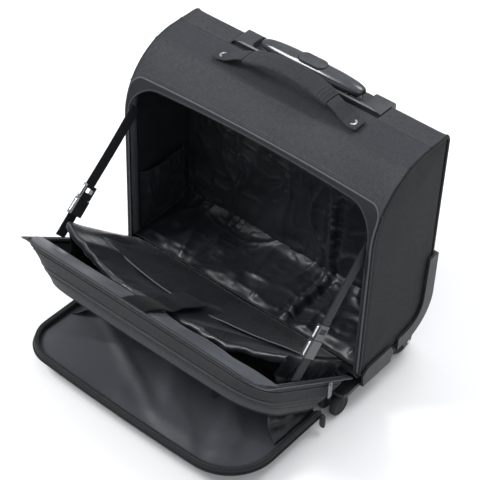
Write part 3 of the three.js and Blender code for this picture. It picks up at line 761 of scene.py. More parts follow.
def soften(grid, seed, swell=0.9, size=140.0, sides=(1.6, 1.6, 1.6, 1.6), reach=3.0):
    """Gives a stretched panel a slight swell and rolls its edges in.

    sides holds the roll of the first row, last row, first column and last column.
    """
    rows, columns = grid.shape[:2]
    points = grid.reshape(-1, 3)
    normals = point_normals(points, grid_quads(rows, columns))
    move = swell * rough(points, size, seed, 2)
    down = running(lengths(grid, 0).mean(1))
    along = running(lengths(grid, 1).mean(0))
    edge = np.zeros((rows, columns))
    edge += sides[0] * np.exp(-down / reach)[:, None] + sides[1] * np.exp(-(down[-1] - down) / reach)[:, None]
    edge += sides[2] * np.exp(-along / reach)[None] + sides[3] * np.exp(-(along[-1] - along) / reach)[None]
    points = points + normals * (move - edge.ravel())[:, None]
    return points.reshape(rows, columns, 3)


def edge_spacing(count, low, high, tight=0.35):
    """Levels from low to high, closer together at both ends."""
    t = np.linspace(0, 1, count + 1)
    t = (1 - tight) * t + tight * (3 * t**2 - 2 * t**3)
    return low + (high - low) * t


def panel_columns(half, count=96):
    inner = np.linspace(-half + 8, half - 8, count - 7)
    side = np.array([0, 0.8, 1.8, 3.2, 5.2])
    return np.concatenate([-half + side, inner, (half - side)[::-1]])


def over_path(path, x):
    return np.stack([np.stack([x, np.full(len(x), y), np.full(len(x), z)], 1) for y, z in path])


def build_back_panel(x):
    """The back panel turns over the rear top edge. It is cut out under the handle bezel."""
    bend = SHELL_HEIGHT - REAR_TOP_RADIUS
    levels = np.linspace(REAR_BOTTOM_RADIUS, bend, 41)[:-1].tolist()
    levels = sorted(set(levels + [BEZEL["apron"] - 1, 57, 59, 62]))
    rear_line = np.concatenate([
        np.stack([np.full(len(levels), SHELL_BACK), levels], 1),
        arc(SHELL_BACK - REAR_TOP_RADIUS, bend, REAR_TOP_RADIUS, 0, 90, 8),
        [[y, SHELL_HEIGHT] for y in (60, 52, 45, 40.5, 38.4, REAR_SEAM + 0.2)],
    ])
    cut = BEZEL["half"] + 1.5
    grid = over_path(rear_line, np.array(sorted(set(x.tolist() + [-cut, cut]))))
    middle = (grid[:-1, :-1] + grid[1:, 1:]) / 2
    under_bezel = (np.abs(middle[..., 0]) < cut) & (middle[..., 2] > BEZEL["apron"] - 1)
    grid = soften(grid, 1, swell=0.5)
    grid[..., 1] = np.minimum(grid[..., 1], SHELL_BACK)
    sheet("shell_back", grid, PANEL_THICKNESS, SHELL_CLOTH, "case", keep=~under_bezel, flip=True,
          slot="shell_fabric", replaces=["back_panel"])


def build_top_panels(x):
    """The top centre panel, and the front top panel that ends at the arched zip line."""
    top_line = np.concatenate([
        np.stack([edge_spacing(8, REAR_SEAM - 0.2, FRONT_CENTRE[0]), np.full(9, SHELL_HEIGHT)], 1),
        arc(*FRONT_CENTRE, FRONT_TOP_RADIUS, 90, 109.6, 12)[1:],
    ])
    grid = soften(over_path(top_line, x), 2, swell=0.5)
    sheet("shell_top", grid, PANEL_THICKNESS, BAND_CLOTH, "case", flip=True, slot="shell_fabric",
          replaces=["top_panel"])

    rows = 42
    half, bend = PANEL_EDGE["half"], PANEL_EDGE["round"]
    grid = np.zeros((rows + 1, len(x), 3))
    for k, value in enumerate(x):
        side = abs(value)
        rise = max(0.0, side - (half - bend))
        low = top_of(PANEL_EDGE, side) - bend + math.sqrt(bend**2 - min(rise, bend) ** 2)
        end = 180 - math.degrees(math.asin((low - FRONT_CENTRE[1]) / FRONT_TOP_RADIUS))
        grid[:, k, 0] = value
        grid[:, k, 1:] = arc(*FRONT_CENTRE, FRONT_TOP_RADIUS, 110.2, end, rows)
    grid = soften(grid, 3, swell=0.8, sides=(1.6, 0.7, 1.6, 1.6))
    sheet("shell_front_top", grid, PANEL_THICKNESS, SHELL_CLOTH, "case", flip=True, slot="shell_fabric",
          replaces=["front_top_panel"])


def build_bottom_panel(x):
    bottom_line = np.concatenate([
        [[SHELL_FRONT, FRONT_BOTTOM_RADIUS + 2]],
        arc(SHELL_FRONT + FRONT_BOTTOM_RADIUS, FRONT_BOTTOM_RADIUS, FRONT_BOTTOM_RADIUS, 180, 270, 6),
        np.stack([np.linspace(-60, 15, 12), np.zeros(12)], 1),
        arc(SHELL_BACK - REAR_BOTTOM_RADIUS, REAR_BOTTOM_RADIUS, REAR_BOTTOM_RADIUS, -90, -1.2, 20),
    ])
    grid = soften(over_path(bottom_line, x), 4, swell=0.3)
    grid[..., 2] = np.maximum(grid[..., 2], 0.02)
    sheet("shell_bottom", grid, PANEL_THICKNESS, SHADED_SIDE_CLOTH, "case", flip=False, slot="side_fabric",
          replaces=["bottom_panel"])


def build_side_panel(label, side):
    """A side panel that swells a little, and the piping round it."""
    outline = shell_outline(-SIDE_INSET)
    low, high = outline[:, 1].min(), outline[:, 1].max()
    levels = np.concatenate([
        low + 55 * (1 - np.cos(np.linspace(0, math.pi / 2, 18))),
        np.linspace(low + 60, high - 100, 20),
        high - 95 * (1 - np.sin(np.linspace(0, math.pi / 2, 24))),
    ])
    levels = np.clip(levels, low + 0.02, high - 0.02)
    corner = FRONT_BOTTOM_RADIUS - SIDE_INSET
    grid = []
    for z in levels:
        drop = min(max(FRONT_BOTTOM_RADIUS - z, 0), corner - 0.01)
        low_front = SHELL_FRONT + FRONT_BOTTOM_RADIUS - math.sqrt(corner**2 - drop**2)
        front = max(float(front_y(z, -SIDE_INSET)), low_front)
        rear = float(back_y(z, -SIDE_INSET))
        y = front + (rear - front) * edge_spacing(40, 0, 1, 0.4)
        grid.append(np.stack([np.full(41, side * (SHELL_HALF_WIDTH - 0.4)), y, np.full(41, z)], 1))
    grid = np.array(grid)
    flat = grid.reshape(-1, 3)
    inside = flat[:, 1] - front_y(flat[:, 2], -SIDE_INSET)
    inside = np.minimum(inside, back_y(flat[:, 2], -SIDE_INSET) - flat[:, 1])
    inside = np.minimum(inside, np.minimum(flat[:, 2] - low, high - flat[:, 2]))
    swell = 1.6 * smoothstep(inside, 0, 60) + 0.8 * rough(flat, 110, 5 + side, 2)
    swell -= 1.3 * np.exp(-inside / 2.5)
    grid[..., 0] += side * swell.reshape(grid.shape[:2])
    sheet(f"shell_side_{label}", grid, 2.2, SHADED_SIDE_CLOTH, "case", flip=side < 0, slot="side_fabric",
          replaces=[f"side_panel_{label}"])

    loop = closed_loop(shell_outline(-1.9), 4.0)
    path = np.column_stack([np.full(len(loop), side * (SHELL_HALF_WIDTH - 1.2)), loop])
    tube(f"piping_edge_{label}", path, 2.2, PIPING, "case", closed=True, sides=12, slot="webbing",
         replaces=[f"piping_{label}"])


def build_shell_stitching():
    """Stitches beside both cross seams and along the front panel's arched edge."""
    rows = []
    for y in (REAR_SEAM + 3.2, REAR_SEAM - 3.2):
        line = np.array([[-208, y, SHELL_HEIGHT + 0.1], [208, y, SHELL_HEIGHT + 0.1]])
        rows.append(stitch_mesh(line, (0, 0, 1)))
    for angle in (107.9, 111.9):
        a = math.radians(angle)
        y = FRONT_CENTRE[0] + FRONT_TOP_RADIUS * math.cos(a)
        z = FRONT_CENTRE[1] + FRONT_TOP_RADIUS * math.sin(a)
        line = np.array([[-208, y, z + 0.1], [208, y, z + 0.1]])
        rows.append(stitch_mesh(line, (0, math.cos(a), math.sin(a))))
    edge = over_arch(dict(PANEL_EDGE, bottom=230), -4.0)
    path = on_front(edge[edge[:, 1] > 285], 0.3)
    rows.append(stitch_mesh(path, front_normals(path)))
    rows_piece("shell_stitching", rows, THREAD, "case")


def build_shell():
    x = panel_columns(SHELL_HALF_WIDTH - 2.6)
    build_back_panel(x)
    build_top_panels(x)
    build_bottom_panel(x)
    for label, side in SIDES:
        build_side_panel(label, side)
    build_shell_stitching()


def tape_between(outer, inner, offset, count=6):
    """A grid between two outlines on the shell's front, from the outer to the inner one."""
    return np.array([on_front(outer * (1 - t) + inner * t, offset) for t in np.linspace(0, 1, count + 1)])


def build_opening():
    grid = tape_between(over_arch(PANEL_EDGE, 0.4), over_arch(OPENING), 1.0)
    sheet("opening_zip_tape", grid, 1.1, ZIP_TAPE, "case", flip=True, slot="webbing",
          replaces=["zip_tape_shell"])
    path = on_front(over_arch(PANEL_EDGE, 0.6), 1.4)
    tube("opening_binding", path, 1.35, BINDING, "case", slot="webbing")
    path = on_front(over_arch(OPENING, -1.4), 1.2)
    rows_piece("opening_zip_teeth", [teeth_mesh(path, front_normals(path), pitch=2.6)], TEETH, "case")
    path = on_front(over_arch(OPENING, -4.2), 1.3)
    rows_piece("opening_stitching", [stitch_mesh(path, front_normals(path))], THREAD, "case")


# Inside of the shell


def seam_ridge(distance, width, height):
    return height * np.exp(-((distance / width) ** 2))


def lining_folds(flat):
    """How far the body lining stands off its panels at each point."""
    height = flat[:, 2]
    on_back = smoothstep(height, 18, 60) * smoothstep(256 - height, 0, 30)
    on_floor = 1 - smoothstep(height, 14, 40)
    move = 2.2 * rough(flat, 60, 21, 3)
    move += 6.5 * creases(flat, 74, 22, (1, 1, 0.45)) * on_back
    move += 3.5 * creases(flat, 36, 23, (1, 1, 0.6)) * on_back
    move += 7.5 * creases(flat, 80, 24, (1, 0.6, 1)) * on_floor
    move += 4.0 * creases(flat, 38, 25, (0.8, 1, 1)) * on_floor
    move += 1.6 * creases(flat, 20, 26)

    # A gathered seam runs up the right of the back wall, and a plainer one up the left
    line = 66 + 5 * noise(np.stack([height / 60, flat[:, 1] / 60, flat[:, 1] * 0], 1), 31)
    away = flat[:, 0] - line
    low = smoothstep(254 - height, 0, 24)
    run = np.where(height > 20, height, flat[:, 1])
    beat = np.column_stack([run / 7, flat[:, 0] / 60, run * 0])
    gather = 1 + 0.8 * noise(beat, 33) + 0.3 * noise(beat * 2.1, 34)
    move += low * seam_ridge(away, 5.0, 7.5) * gather
    move -= low * (seam_ridge(away - 11, 5, 2.5) + seam_ridge(away + 11, 5, 2.5))
    drift = 5 * np.stack([noise(flat / 25, 41)] * 3, 1)
    pucker = folds(flat + drift, (0.1, 0.75, 0.75), 14, 42, cover=0.4)
    move += low * 3.0 * pucker * np.exp(-np.abs(away) / 26)
    left = flat[:, 0] + 112 + 10 * noise(flat / 50, 51)
    move += low * seam_ridge(left, 5.5, 6.0) * (0.7 + 0.4 * noise(flat / 22, 52))

    # Spare cloth lies in big folds at the front right of the floor
    ring = np.hypot(flat[:, 0] - 150, (flat[:, 1] + 20) * 1.1)
    spare = 9 * seam_ridge(ring - 34, 9, 1) + 6 * seam_ridge(ring - 12, 7, 1)
    move += on_floor * spare * (0.7 + 0.5 * noise(flat / 30, 61))
    corner = smoothstep(height, 6, 30) * (1 - smoothstep(height, 40, 90))
    move += corner * 7 * (0.5 + 0.5 * noise(flat / 36, 71))

    # The cloth is held at its sides, at the opening's sill and under the top
    edge = np.minimum(LINING_HALF_WIDTH - np.abs(flat[:, 0]), 14) / 14
    mouth = smoothstep(flat[:, 1] + 66, 0, 10)
    ceiling_calm = np.where(height > 258, 0.2, 1.0)
    limit = 15.0
    move = limit * np.tanh(np.maximum(move, -0.6) / limit)
    return move * edge * np.where(height < 30, mouth, 1) * ceiling_calm


def build_lining_body():
    """The lining of the floor, back and top, as one creased sheet."""
    radius = REAR_BOTTOM_RADIUS - 7
    path = resampled(np.concatenate([
        np.stack([np.full(4, SHELL_FRONT + LINING_INSET), np.linspace(12, 8.6, 4)], 1),
        np.stack([np.linspace(-69.5, 22, 34), np.full(34, 6.8)], 1),
        arc(SHELL_BACK - REAR_BOTTOM_RADIUS, REAR_BOTTOM_RADIUS, radius, -88, -48, 10),
        np.stack([np.full(70, LINING_BACK - 1.2), np.linspace(24, 318, 70)], 1),
        np.stack([np.linspace(52, 26, 10), np.full(10, 322.0)], 1),
        arc(*FRONT_CENTRE, FRONT_TOP_RADIUS - 7, 100, 141.5, 22),
    ]), count=230)
    grid = over_path(path, np.linspace(-LINING_HALF_WIDTH, LINING_HALF_WIDTH, 190))
    rows, columns = grid.shape[:2]
    flat = grid.reshape(-1, 3)
    inward = -point_normals(flat, grid_quads(rows, columns)[:, ::-1])
    middle = np.array([0, -10, 160.0])
    inward *= np.sign(((middle - flat) * inward).sum(1))[:, None]
    flat = flat + inward * lining_folds(flat)[:, None]
    lining = sheet("lining_body", flat.reshape(rows, columns, 3), 0.8, LINING_SATIN, "case", flip=True,
                   slot="lining_nylon", replaces=["lining"])
    declared(lining, 440, 760, "gathered", ["shell_back", "shell_bottom"])


def build_lining_side(label, side):
    grid = []
    for z in np.linspace(7.5, 322, 100):
        front = float(front_y(z, -LINING_INSET))
        rear = min(float(back_y(z, -LINING_INSET)), LINING_BACK - 1)
        if z < 12:
            front += 3
        y = np.linspace(front + 0.5, rear, 48)
        grid.append(np.stack([np.full(48, side * (LINING_HALF_WIDTH + 0.6)), y, np.full(48, z)], 1))
    grid = np.array(grid)
    flat = grid.reshape(-1, 3)
    inside = np.minimum(flat[:, 1] - front_y(flat[:, 2], -LINING_INSET), LINING_BACK - flat[:, 1])
    move = 1.2 * rough(flat, 70, 80 + side, 2) + 2.0 * folds(flat, (0, 0.9, 0.4), 44, 82 + side)
    held = np.clip(inside / 14, 0, 1)
    grid[..., 0] -= side * (np.clip(move, -0.4, 4) * held).reshape(grid.shape[:2])
    wall = sheet(f"lining_side_{label}", grid, 0.8, LINING_SATIN, "case", flip=side > 0, slot="lining_nylon")
    declared(wall, 130, 320, "stretched", [f"shell_side_{label}"], share=0.9)


def build_opening_facing(label, side):
    """The edge strip inside the opening."""
    z = np.linspace(14, 262, 60)
    grid = []
    for k, t in enumerate(np.linspace(0, 1, 7)):
        y = front_y(z, -1.0) + 12 * t
        ripple = 0.7 * noise(np.stack([z / 14, z * 0 + k, z * 0], 1), 90)
        grid.append(np.column_stack([side * (206.6 - 1.5 * math.sin(math.pi * t) + ripple), y, z]))
    sheet(f"opening_facing_{label}", np.array(grid), 1.0, BINDING, "case", flip=side > 0, slot="webbing")


def build_inner_band():
    """The webbing band across the back wall, with its metal slide."""
    half = 206
    y = LINING_BACK - 3.5
    x = np.linspace(-half, half, 120)
    sag = 3 * (1 - (x / half) ** 2)
    grid = []
    for k in range(7):
        z = 262 + 28 * k / 6 - sag
        ripple = 1.0 * noise(np.column_stack([x / 60, z / 60, x * 0]), 92)
        bow = 3.0 * np.maximum(0, 1 - (x / half) ** 2) + ripple
        grid.append(np.column_stack([x, y - 5 - bow, z]))
    band = sheet("inner_band_webbing", np.array(grid), 1.5, WEBBING, "case", flip=False, slot="webbing",
                 replaces=["inner_band"])
    declared(band, 412, 28, "stretched", ["lining_body"])
    loop = [[150.5, 259], [179.5, 259], [179.5, 293], [150.5, 293]]
    path = closed_loop(np.array(loop), 2.0) - (0, 2)
    tube("band_slide_wire", at_depth(path, y - 9.5), 1.6, STEEL, "case", closed=True, sides=10, slot="steel",
         replaces=["band_slide"])


def build_lining():
    build_lining_body()
    for label, side in SIDES:
        build_lining_side(label, side)
        build_side_pocket(label, side)
    for label, side in SIDES:
        build_opening_facing(label, side)
    build_inner_band()


def build_side_pocket(label, side):
    y = np.linspace(-58, 40, 60)
    z = np.linspace(14, 118, 46)
    grid = np.zeros((len(z), len(y), 3))
    for i, height in enumerate(z):
        t = (height - 14) / 104
        across = np.clip(np.minimum(y + 58, 40 - y) / 10, 0, 1)
        belly = 11 * math.sin(math.pi * min(t * 0.62 + 0.1, 1)) * across
        grid[i] = np.column_stack([side * (208.6 - belly), y, np.full(len(y), height)])
    flat = grid.reshape(-1, 3)
    top = smoothstep(flat[:, 2], 60, 118)
    gathers = 2.4 * noise(flat * (0.01, 1 / 8, 1 / 40), 101) + 1.2 * noise(flat * (0.01, 1 / 4, 1 / 30), 104)
    gathers = gathers * top
    crumple = 2.6 * rough(flat, 34, 102 + side, 3) + 3 * folds(flat, (0, 0.8, 0.5), 24, 103 + side)
    across = np.clip(np.minimum(flat[:, 1] + 58, 40 - flat[:, 1]) / 12, 0, 1)
    above_foot = np.clip((flat[:, 2] - 14) / 20, 0, 1)
    move = np.clip(gathers + crumple, -4, 6) * across * above_foot
    grid[..., 0] -= side * move.reshape(grid.shape[:2])
    pocket = sheet(f"side_pocket_cloth_{label}", grid, 0.8, LINING_SATIN, "case", flip=side > 0,
                   slot="lining_nylon", replaces=[f"side_pocket_{label}"])
    declared(pocket, 125, 108, "gathered", [f"lining_side_{label}"])
    rim = grid[-1] + (0, 0, 0.5)
    tube(f"side_pocket_elastic_{label}", rim, 1.9, WEBBING, "case", sides=8, slot="webbing")


# Door


def door_outline_points(step_rings=26):
    """Closed outlines of the door from its rim to its face, all with the same number of points."""
    depth = np.array([r["y"] for r in DOOR_RINGS], float)
    stack = np.array([round_arch(r) for r in DOOR_RINGS])

    def at(y):
        k = int(np.clip(np.searchsorted(-depth, -y) - 1, 0, len(depth) - 2))
        t = (y - depth[k]) / (depth[k + 1] - depth[k])
        return stack[k] * (1 - t) + stack[k + 1] * t

    # The rim follows the shell's curved front
    ys = np.linspace(-44, DOOR_FACE, 400)
    lines = np.array([at(y) for y in ys])
    rim_y = np.zeros(lines.shape[1])
    for n in range(lines.shape[1]):
        clear = ys[:, None] < front_y(lines[:, n, 1], 5.0)[:, None]
        rim_y[n] = ys[np.argmax(clear[:, 0])]
    grid = []
    for t in np.linspace(0, 1, step_rings + 1):
        y = rim_y * (1 - t) + DOOR_FACE * t
        k = np.clip(np.searchsorted(-ys, -y) - 1, 0, len(ys) - 2)
        f = (y - ys[k]) / (ys[k + 1] - ys[k])
        n = np.arange(lines.shape[1])
        line = lines[k, n] * (1 - f)[:, None] + lines[k + 1, n] * f[:, None]
        grid.append(np.column_stack([line[:, 0], y, line[:, 1]]))
    return np.array(grid)


def inset_loop(loop, distance):
    """Moves a closed loop of points towards its inside, in the XZ plane."""
    ahead = np.roll(loop, -1, 0) - np.roll(loop, 1, 0)
    inward = unit(np.column_stack([-ahead[:, 2], np.zeros(len(loop)), ahead[:, 0]]))
    centre = loop.mean(0)
    if ((centre - loop) * inward).sum() < 0:
        inward = -inward
    return loop + inward * distance


def across_door(y, z, inset):
    """Left and right ends of the door's inside at depth y and height z."""
    depths = [r["y"] for r in DOOR_RINGS][::-1]
    ring = {key: float(np.interp(y, depths, [r[key] for r in DOOR_RINGS][::-1])) for key in DOOR_RINGS[0]}
    loop = round_arch(ring, inset)
    closed = np.concatenate([loop, loop[:1]])
    a, b = closed[:-1], closed[1:]
    hit = (a[:, 1] - z) * (b[:, 1] - z) < 0
    t = (z - a[hit, 1]) / (b[hit, 1] - a[hit, 1])
    cross = a[hit, 0] + t * (b[hit, 0] - a[hit, 0])
    return float(cross.min()), float(cross.max())


def above(line, height):
    """The order of a closed outline's points that lie above a height, from one foot over to the other."""
    use = line[:, 2] > height
    start = int(np.argmin(use))
    order = np.roll(np.arange(len(use)), -start)
    return [i for i in order if use[i]]


def band_cut(rings):
    """The flat size of a sewn band before it creases: its length round the outline, and its width."""
    around = lengths(np.concatenate([rings, rings[:, :1]], 1), 1).sum(1)
    across = lengths(rings, 0).sum(0)
    return float(around.mean()), float(across.mean())


def door_gusset_rings(rings):
    """The gusset's outer skin: it puffs a little between its seams."""
    depth = np.linspace(0, 1, len(rings))
    dip = sum(1.5 * np.exp(-((depth - seam) / 0.018) ** 2) for seam in GUSSET_SEAMS)
    body = []
    for ring, inset in zip(rings, dip + 0.6):
        moved = inset_loop(ring, inset)
        wobble = 0.5 * rough(moved, 90, 111, 2)
        push = np.column_stack([wobble * np.sign(moved[:, 0]) * 0.3, wobble * 0, wobble * 0.4])
        body.append(moved + push)
    return np.array(body)


def build_door_gusset(rings, body):
    """The two bands of the gusset, and the lining behind them."""
    middle = int(GUSSET_SPLIT * len(rings))
    bands = (
        ("door_gusset_rim", slice(0, middle + 1), SHADED_SIDE_CLOTH, ["door_gusset"]),
        ("door_gusset_outer", slice(middle, len(rings)), DOOR_CLOTH, ()),
    )
    for name, part, look, stands_for in bands:
        band = sheet(name, body[part], 2.2, look, "door", closed=True, flip=False, turn=door_open,
                     slot="side_fabric", replaces=stands_for)
        declared(band, *band_cut(rings[part]), "stretched", ["door_face"])
    inner = np.array([inset_loop(ring, 3.4) for ring in rings])
    crumple = 1.3 * rough(inner.reshape(-1, 3), 45, 121, 3)
    inner[..., 2] += crumple.reshape(inner.shape[:2]) * 0.5
    lining = sheet("door_gusset_lining", inner[1:], 0.8, TRAY_SATIN, "door", closed=True, flip=True,
                   turn=door_open, slot="lining_nylon")
    declared(lining, *band_cut(rings[1:]), "stretched", ["door_gusset_rim"])


def build_door_face(rings):
    """The door's front panel, and the tray lining that rises from it towards the rim."""
    face = rounded_face(rings[-1], DOOR_FACE)
    bulge = 1.0 * rough(face.reshape(-1, 3), 120, 131, 2)
    face[..., 1] += np.clip(bulge, -0.3, 1.5).reshape(face.shape[:2])
    sheet("door_face", face, 2.4, SHADED_SIDE_CLOTH, "door", flip=False, turn=door_open, slot="shell_fabric",
          replaces=["door_panel"])
    profile = resampled(TRAY_PROFILE, count=90)
    share = (np.linspace(-1, 1, 81) + 1) / 2
    rows = []
    for y, z in profile:
        low, high = across_door(y, z, 4.2)
        rows.append(np.stack([low + (high - low) * share, np.full(len(share), y), np.full(len(share), z)], 1))
    lining = np.array(rows)
    flat = lining.reshape(-1, 3)
    wave = 2.2 * folds(flat, (0.5, 0, 0.85), 70, 141) + 1.2 * rough(flat, 60, 142, 2)
    lining[..., 1] += np.clip(wave, 0, 5).reshape(lining.shape[:2])
    lining = sheet("door_face_lining", lining, 0.8, TRAY_SATIN, "door", flip=True, turn=door_open,
                   slot="lining_nylon")
    declared(lining, 404, float(lengths(profile).sum()), "laid", ["door_face"], share=0.92)


def door_tape_line(inset, offset):
    """A line along the door's zip tape, at offset from the shell's front when the door is shut."""
    return on_front(over_arch(DOOR_TAPE, inset, legs=60, bends=24, top=90), offset)


def flat_away(line):
    """Directions away from a line's centre, square to Y."""
    away = line - line.mean(0)
    away[:, 1] = 0
    return unit(away)


def build_door_rim(body):
    """The rim's zip tape and binding, the piping, the pocket's zip tape, stitches and teeth."""
    last = len(body) - 1
    tape = [door_tape_line(9.5 * t, 4.2 - 0.4 * math.sin(math.pi * t)) for t in np.linspace(0, 1, 8)]
    sheet("door_zip_tape", np.array(tape), 1.2, ZIP_TAPE, "door", flip=True, turn=door_open, slot="webbing",
          replaces=["zip_tape_door"])
    tube("door_rim_binding", door_tape_line(0.6, 4.9), 1.0, BINDING, "door", turn=door_open, slot="webbing")
    seam = inset_loop(body[int(GUSSET_SEAMS[1] * last)], -0.6)
    tube("door_seam_piping", seam, 1.5, PIPING, "door", closed=True, turn=door_open, slot="webbing")
    first, end = int(GUSSET_SEAMS[2] * len(body)), int(0.78 * len(body))
    tape = np.array([inset_loop(ring, -0.7) for ring in body[first:end]])
    sheet("pocket_zip_tape", tape, 0.9, ZIP_TAPE, "door", closed=True, turn=door_open, slot="webbing")
    corner = body[-1] + (0, 1.3, 0)
    tube("door_face_piping", corner, 1.1, PIPING, "door", closed=True, turn=door_open, slot="webbing")

    rows = []
    for share in (0.05, 0.085, 0.16, 0.48, 0.57, 0.62, 0.71):
        place = share * last
        low = int(place)
        line = body[low] * (1 - place + low) + body[min(low + 1, last)] * (place - low)
        away = flat_away(line)
        line = inset_loop(line, -0.2)
        kept = above(line, 14)
        rows.append(stitch_mesh(line[kept], away[kept]))
    rows.append(stitch_mesh(door_tape_line(3.4, 3.7), (0, 1, 0)))
    rows_piece("door_stitching", rows, THREAD, "door", door_open)
    zip_line = body[int(GUSSET_SEAMS[2] * last)]
    path = inset_loop(zip_line, -1.2)[above(zip_line, 40)]
    rows_piece("door_zip_teeth", [
        teeth_mesh(door_tape_line(6.8, 3.9), (0, 1, 0), pitch=2.6),
        teeth_mesh(path, flat_away(path), pitch=2.6),
    ], TEETH, "door", door_open)


def build_door_hinge():
    """The cloth hinge between the shell's lower edge and the door."""
    path = np.array([[-74, 3.0], [-79, 1.2], [-83, 0.2], [-88, 1.0], [-93, 3.2]])
    grid = over_path(resampled(path, count=14), np.linspace(-196, 196, 60))
    hinge = sheet("door_cloth_hinge", grid, 1.4, SHADED_SIDE_CLOTH, None, flip=False, slot="side_fabric")
    declared(hinge, 392, 22, "stretched", ["shell_bottom"])
    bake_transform(hinge)


def build_door():
    rings = door_outline_points(84)
    body = door_gusset_rings(rings)
    build_door_gusset(rings, body)
    build_door_face(rings)
    build_door_rim(body)
    build_door_hinge()


def rounded_face(loop, y, rings=26):
    """A grid that fills a closed outline: rows run from the bottom up, each from left to right."""
    z_low, z_high = loop[:, 2].min() + 0.05, loop[:, 2].max() - 0.05
    t = np.linspace(0, 1, rings * 2)
    levels = z_low + (z_high - z_low) * (0.5 - 0.5 * np.cos(math.pi * t))
    u = np.linspace(-1, 1, 61)
    grid = []
    closed = np.concatenate([loop, loop[:1]])
    for z in levels:
        cross = []
        a, b = closed[:-1], closed[1:]
        hit = (a[:, 2] - z) * (b[:, 2] - z) <= 0
        for p, q in zip(a[hit], b[hit]):
            f = 0.5 if abs(q[2] - p[2]) < 1e-9 else (z - p[2]) / (q[2] - p[2])
            cross.append(p[0] + f * (q[0] - p[0]))
        low, high = min(cross), max(cross)
        grid.append(np.stack([low + (high - low) * (u + 1) / 2, np.full(len(u), y), np.full(len(u), z)], 1))
    return np.array(grid)


# Organizer in the door


def organizer_surface(x, t):
    """The leaning inner wall of the organizer, from its foot (t = 0) to its top edge (t = 1)."""
    x, t = np.broadcast_arrays(np.asarray(x, float), np.asarray(t, float))
    side = np.abs(x / 192)
    top_y = -86 + 38 * side**2.4
    top_z = 179 + 9 * side**2 - 7 * x / 192 - 3 * np.exp(-((x + 5) / 40) ** 2)
    foot_y, foot_z = -70, 15
    y = foot_y + (top_y - foot_y) * t**1.2
    z = foot_z + (top_z - foot_z) * t
    y = y - 5 * np.sin(math.pi * t) * (1 - side**2)
    return x, y, z


def build_organizer_wall():
    u = np.linspace(-1, 1, 110)
    t = np.linspace(0, 1, 60)
    grid = np.stack(organizer_surface(u[None, :] * 190, t[:, None]), -1)
    flat = grid.reshape(-1, 3)
    move = 2.4 * rough(flat, 95, 151, 2) + 4.0 * folds(flat, (0.75, 0, 0.65), 85, 152, warp=2.0, cover=0.1)
    height = np.repeat(t, len(u))
    ends = np.clip((190 - np.abs(flat[:, 0])) / 14, 0, 1)
    gathers = 2.6 * noise(flat * (1 / 11, 0.01, 1 / 60), 153)
    gathers += 1.5 * noise(flat * (1 / 5.5, 0.01, 1 / 30), 156)
    pucker = gathers * smoothstep(height, 0.8, 1.0) * (0.6 + 0.4 * noise(flat * (1 / 45, 0, 0), 157))
    flat[:, 1] += (move * smoothstep(height, 0, 0.15) * ends) + pucker
    flat[:, 2] += 1.6 * noise(flat / 16, 154) * smoothstep(height, 0.93, 1.0)
    grid = flat.reshape(grid.shape)

    # The top edge curls over towards the door's face
    top = grid[-1]
    none = np.zeros(len(u))
    curl = []
    for k, angle in enumerate(np.linspace(0.25, 3.0, 9)):
        radius = 4.4 + 1.8 * noise(np.column_stack([top[:, 0] / 22, none + k * 0.2, none]), 155)
        turn = np.column_stack([none, -radius * (1 - math.cos(angle)), radius * math.sin(angle)])
        curl.append(top + turn)
    grid = np.concatenate([grid, np.array(curl)])
    panel = sheet("organizer_wall", grid, 1.2, PANEL_SATIN, "door", flip=False, turn=door_open,
                  slot="dark_nylon", replaces=["organizer_panel"])
    declared(panel, 420, 185, "gathered", ["door_gusset_lining"])


def build_organizer_pocket():
    """The flat pocket on the wall: one sheet with a dividing seam, where its hem steps down."""
    left, right = -172, 182
    x = np.linspace(left, right, 140)
    s = np.linspace(0, 1, 40)
    left_hem = 123 + 10 * (x - left) / 184
    right_hem = 122 - 12 * (x - ORGANIZER_SEAM) / 170
    hem_height = np.where(x < ORGANIZER_SEAM, left_hem, right_hem)
    foot = 18.0
    z = foot + (hem_height - foot)[None, :] * s[:, None]
    grid = np.stack(organizer_surface(x[None, :], (z - 15) / 165), -1)
    flat = grid.reshape(-1, 3)
    rise = np.repeat(s, len(x))
    calm = np.minimum(np.minimum(flat[:, 0] - left, right - flat[:, 0]), np.abs(flat[:, 0] - ORGANIZER_SEAM))
    calm = np.clip(calm / 45, 0, 1)
    swell = 2.6 + 3.5 * np.sin(math.pi * np.clip(rise * 0.6 + 0.1, 0, 1)) * calm
    crumple = 2.4 * folds(flat, (0.8, 0, 0.5), 70, 161, cover=0.1) + 0.8 * rough(flat, 50, 162, 2)
    flat[:, 1] += np.maximum(swell + crumple * rise * calm, 2.4)
    grid = flat.reshape(grid.shape)
    pocket = sheet("organizer_pocket_cloth", grid, 0.9, POCKET_SATIN, "door", flip=False, turn=door_open,
                   slot="lining_nylon", replaces=["organizer_pocket"])
    declared(pocket, 362, 112, "stretched", ["organizer_wall"])
    tube("organizer_hem", grid[-1], 1.1, BINDING, "door", sides=8, turn=door_open, slot="webbing")
    column = int(np.argmin(np.abs(x - ORGANIZER_SEAM)))
    rows = [stitch_mesh(grid[:, column] + (0, 0.4, 0), (0, 1, 0))]
    rows_piece("organizer_seam_stitching", rows, THREAD, "door", door_open)


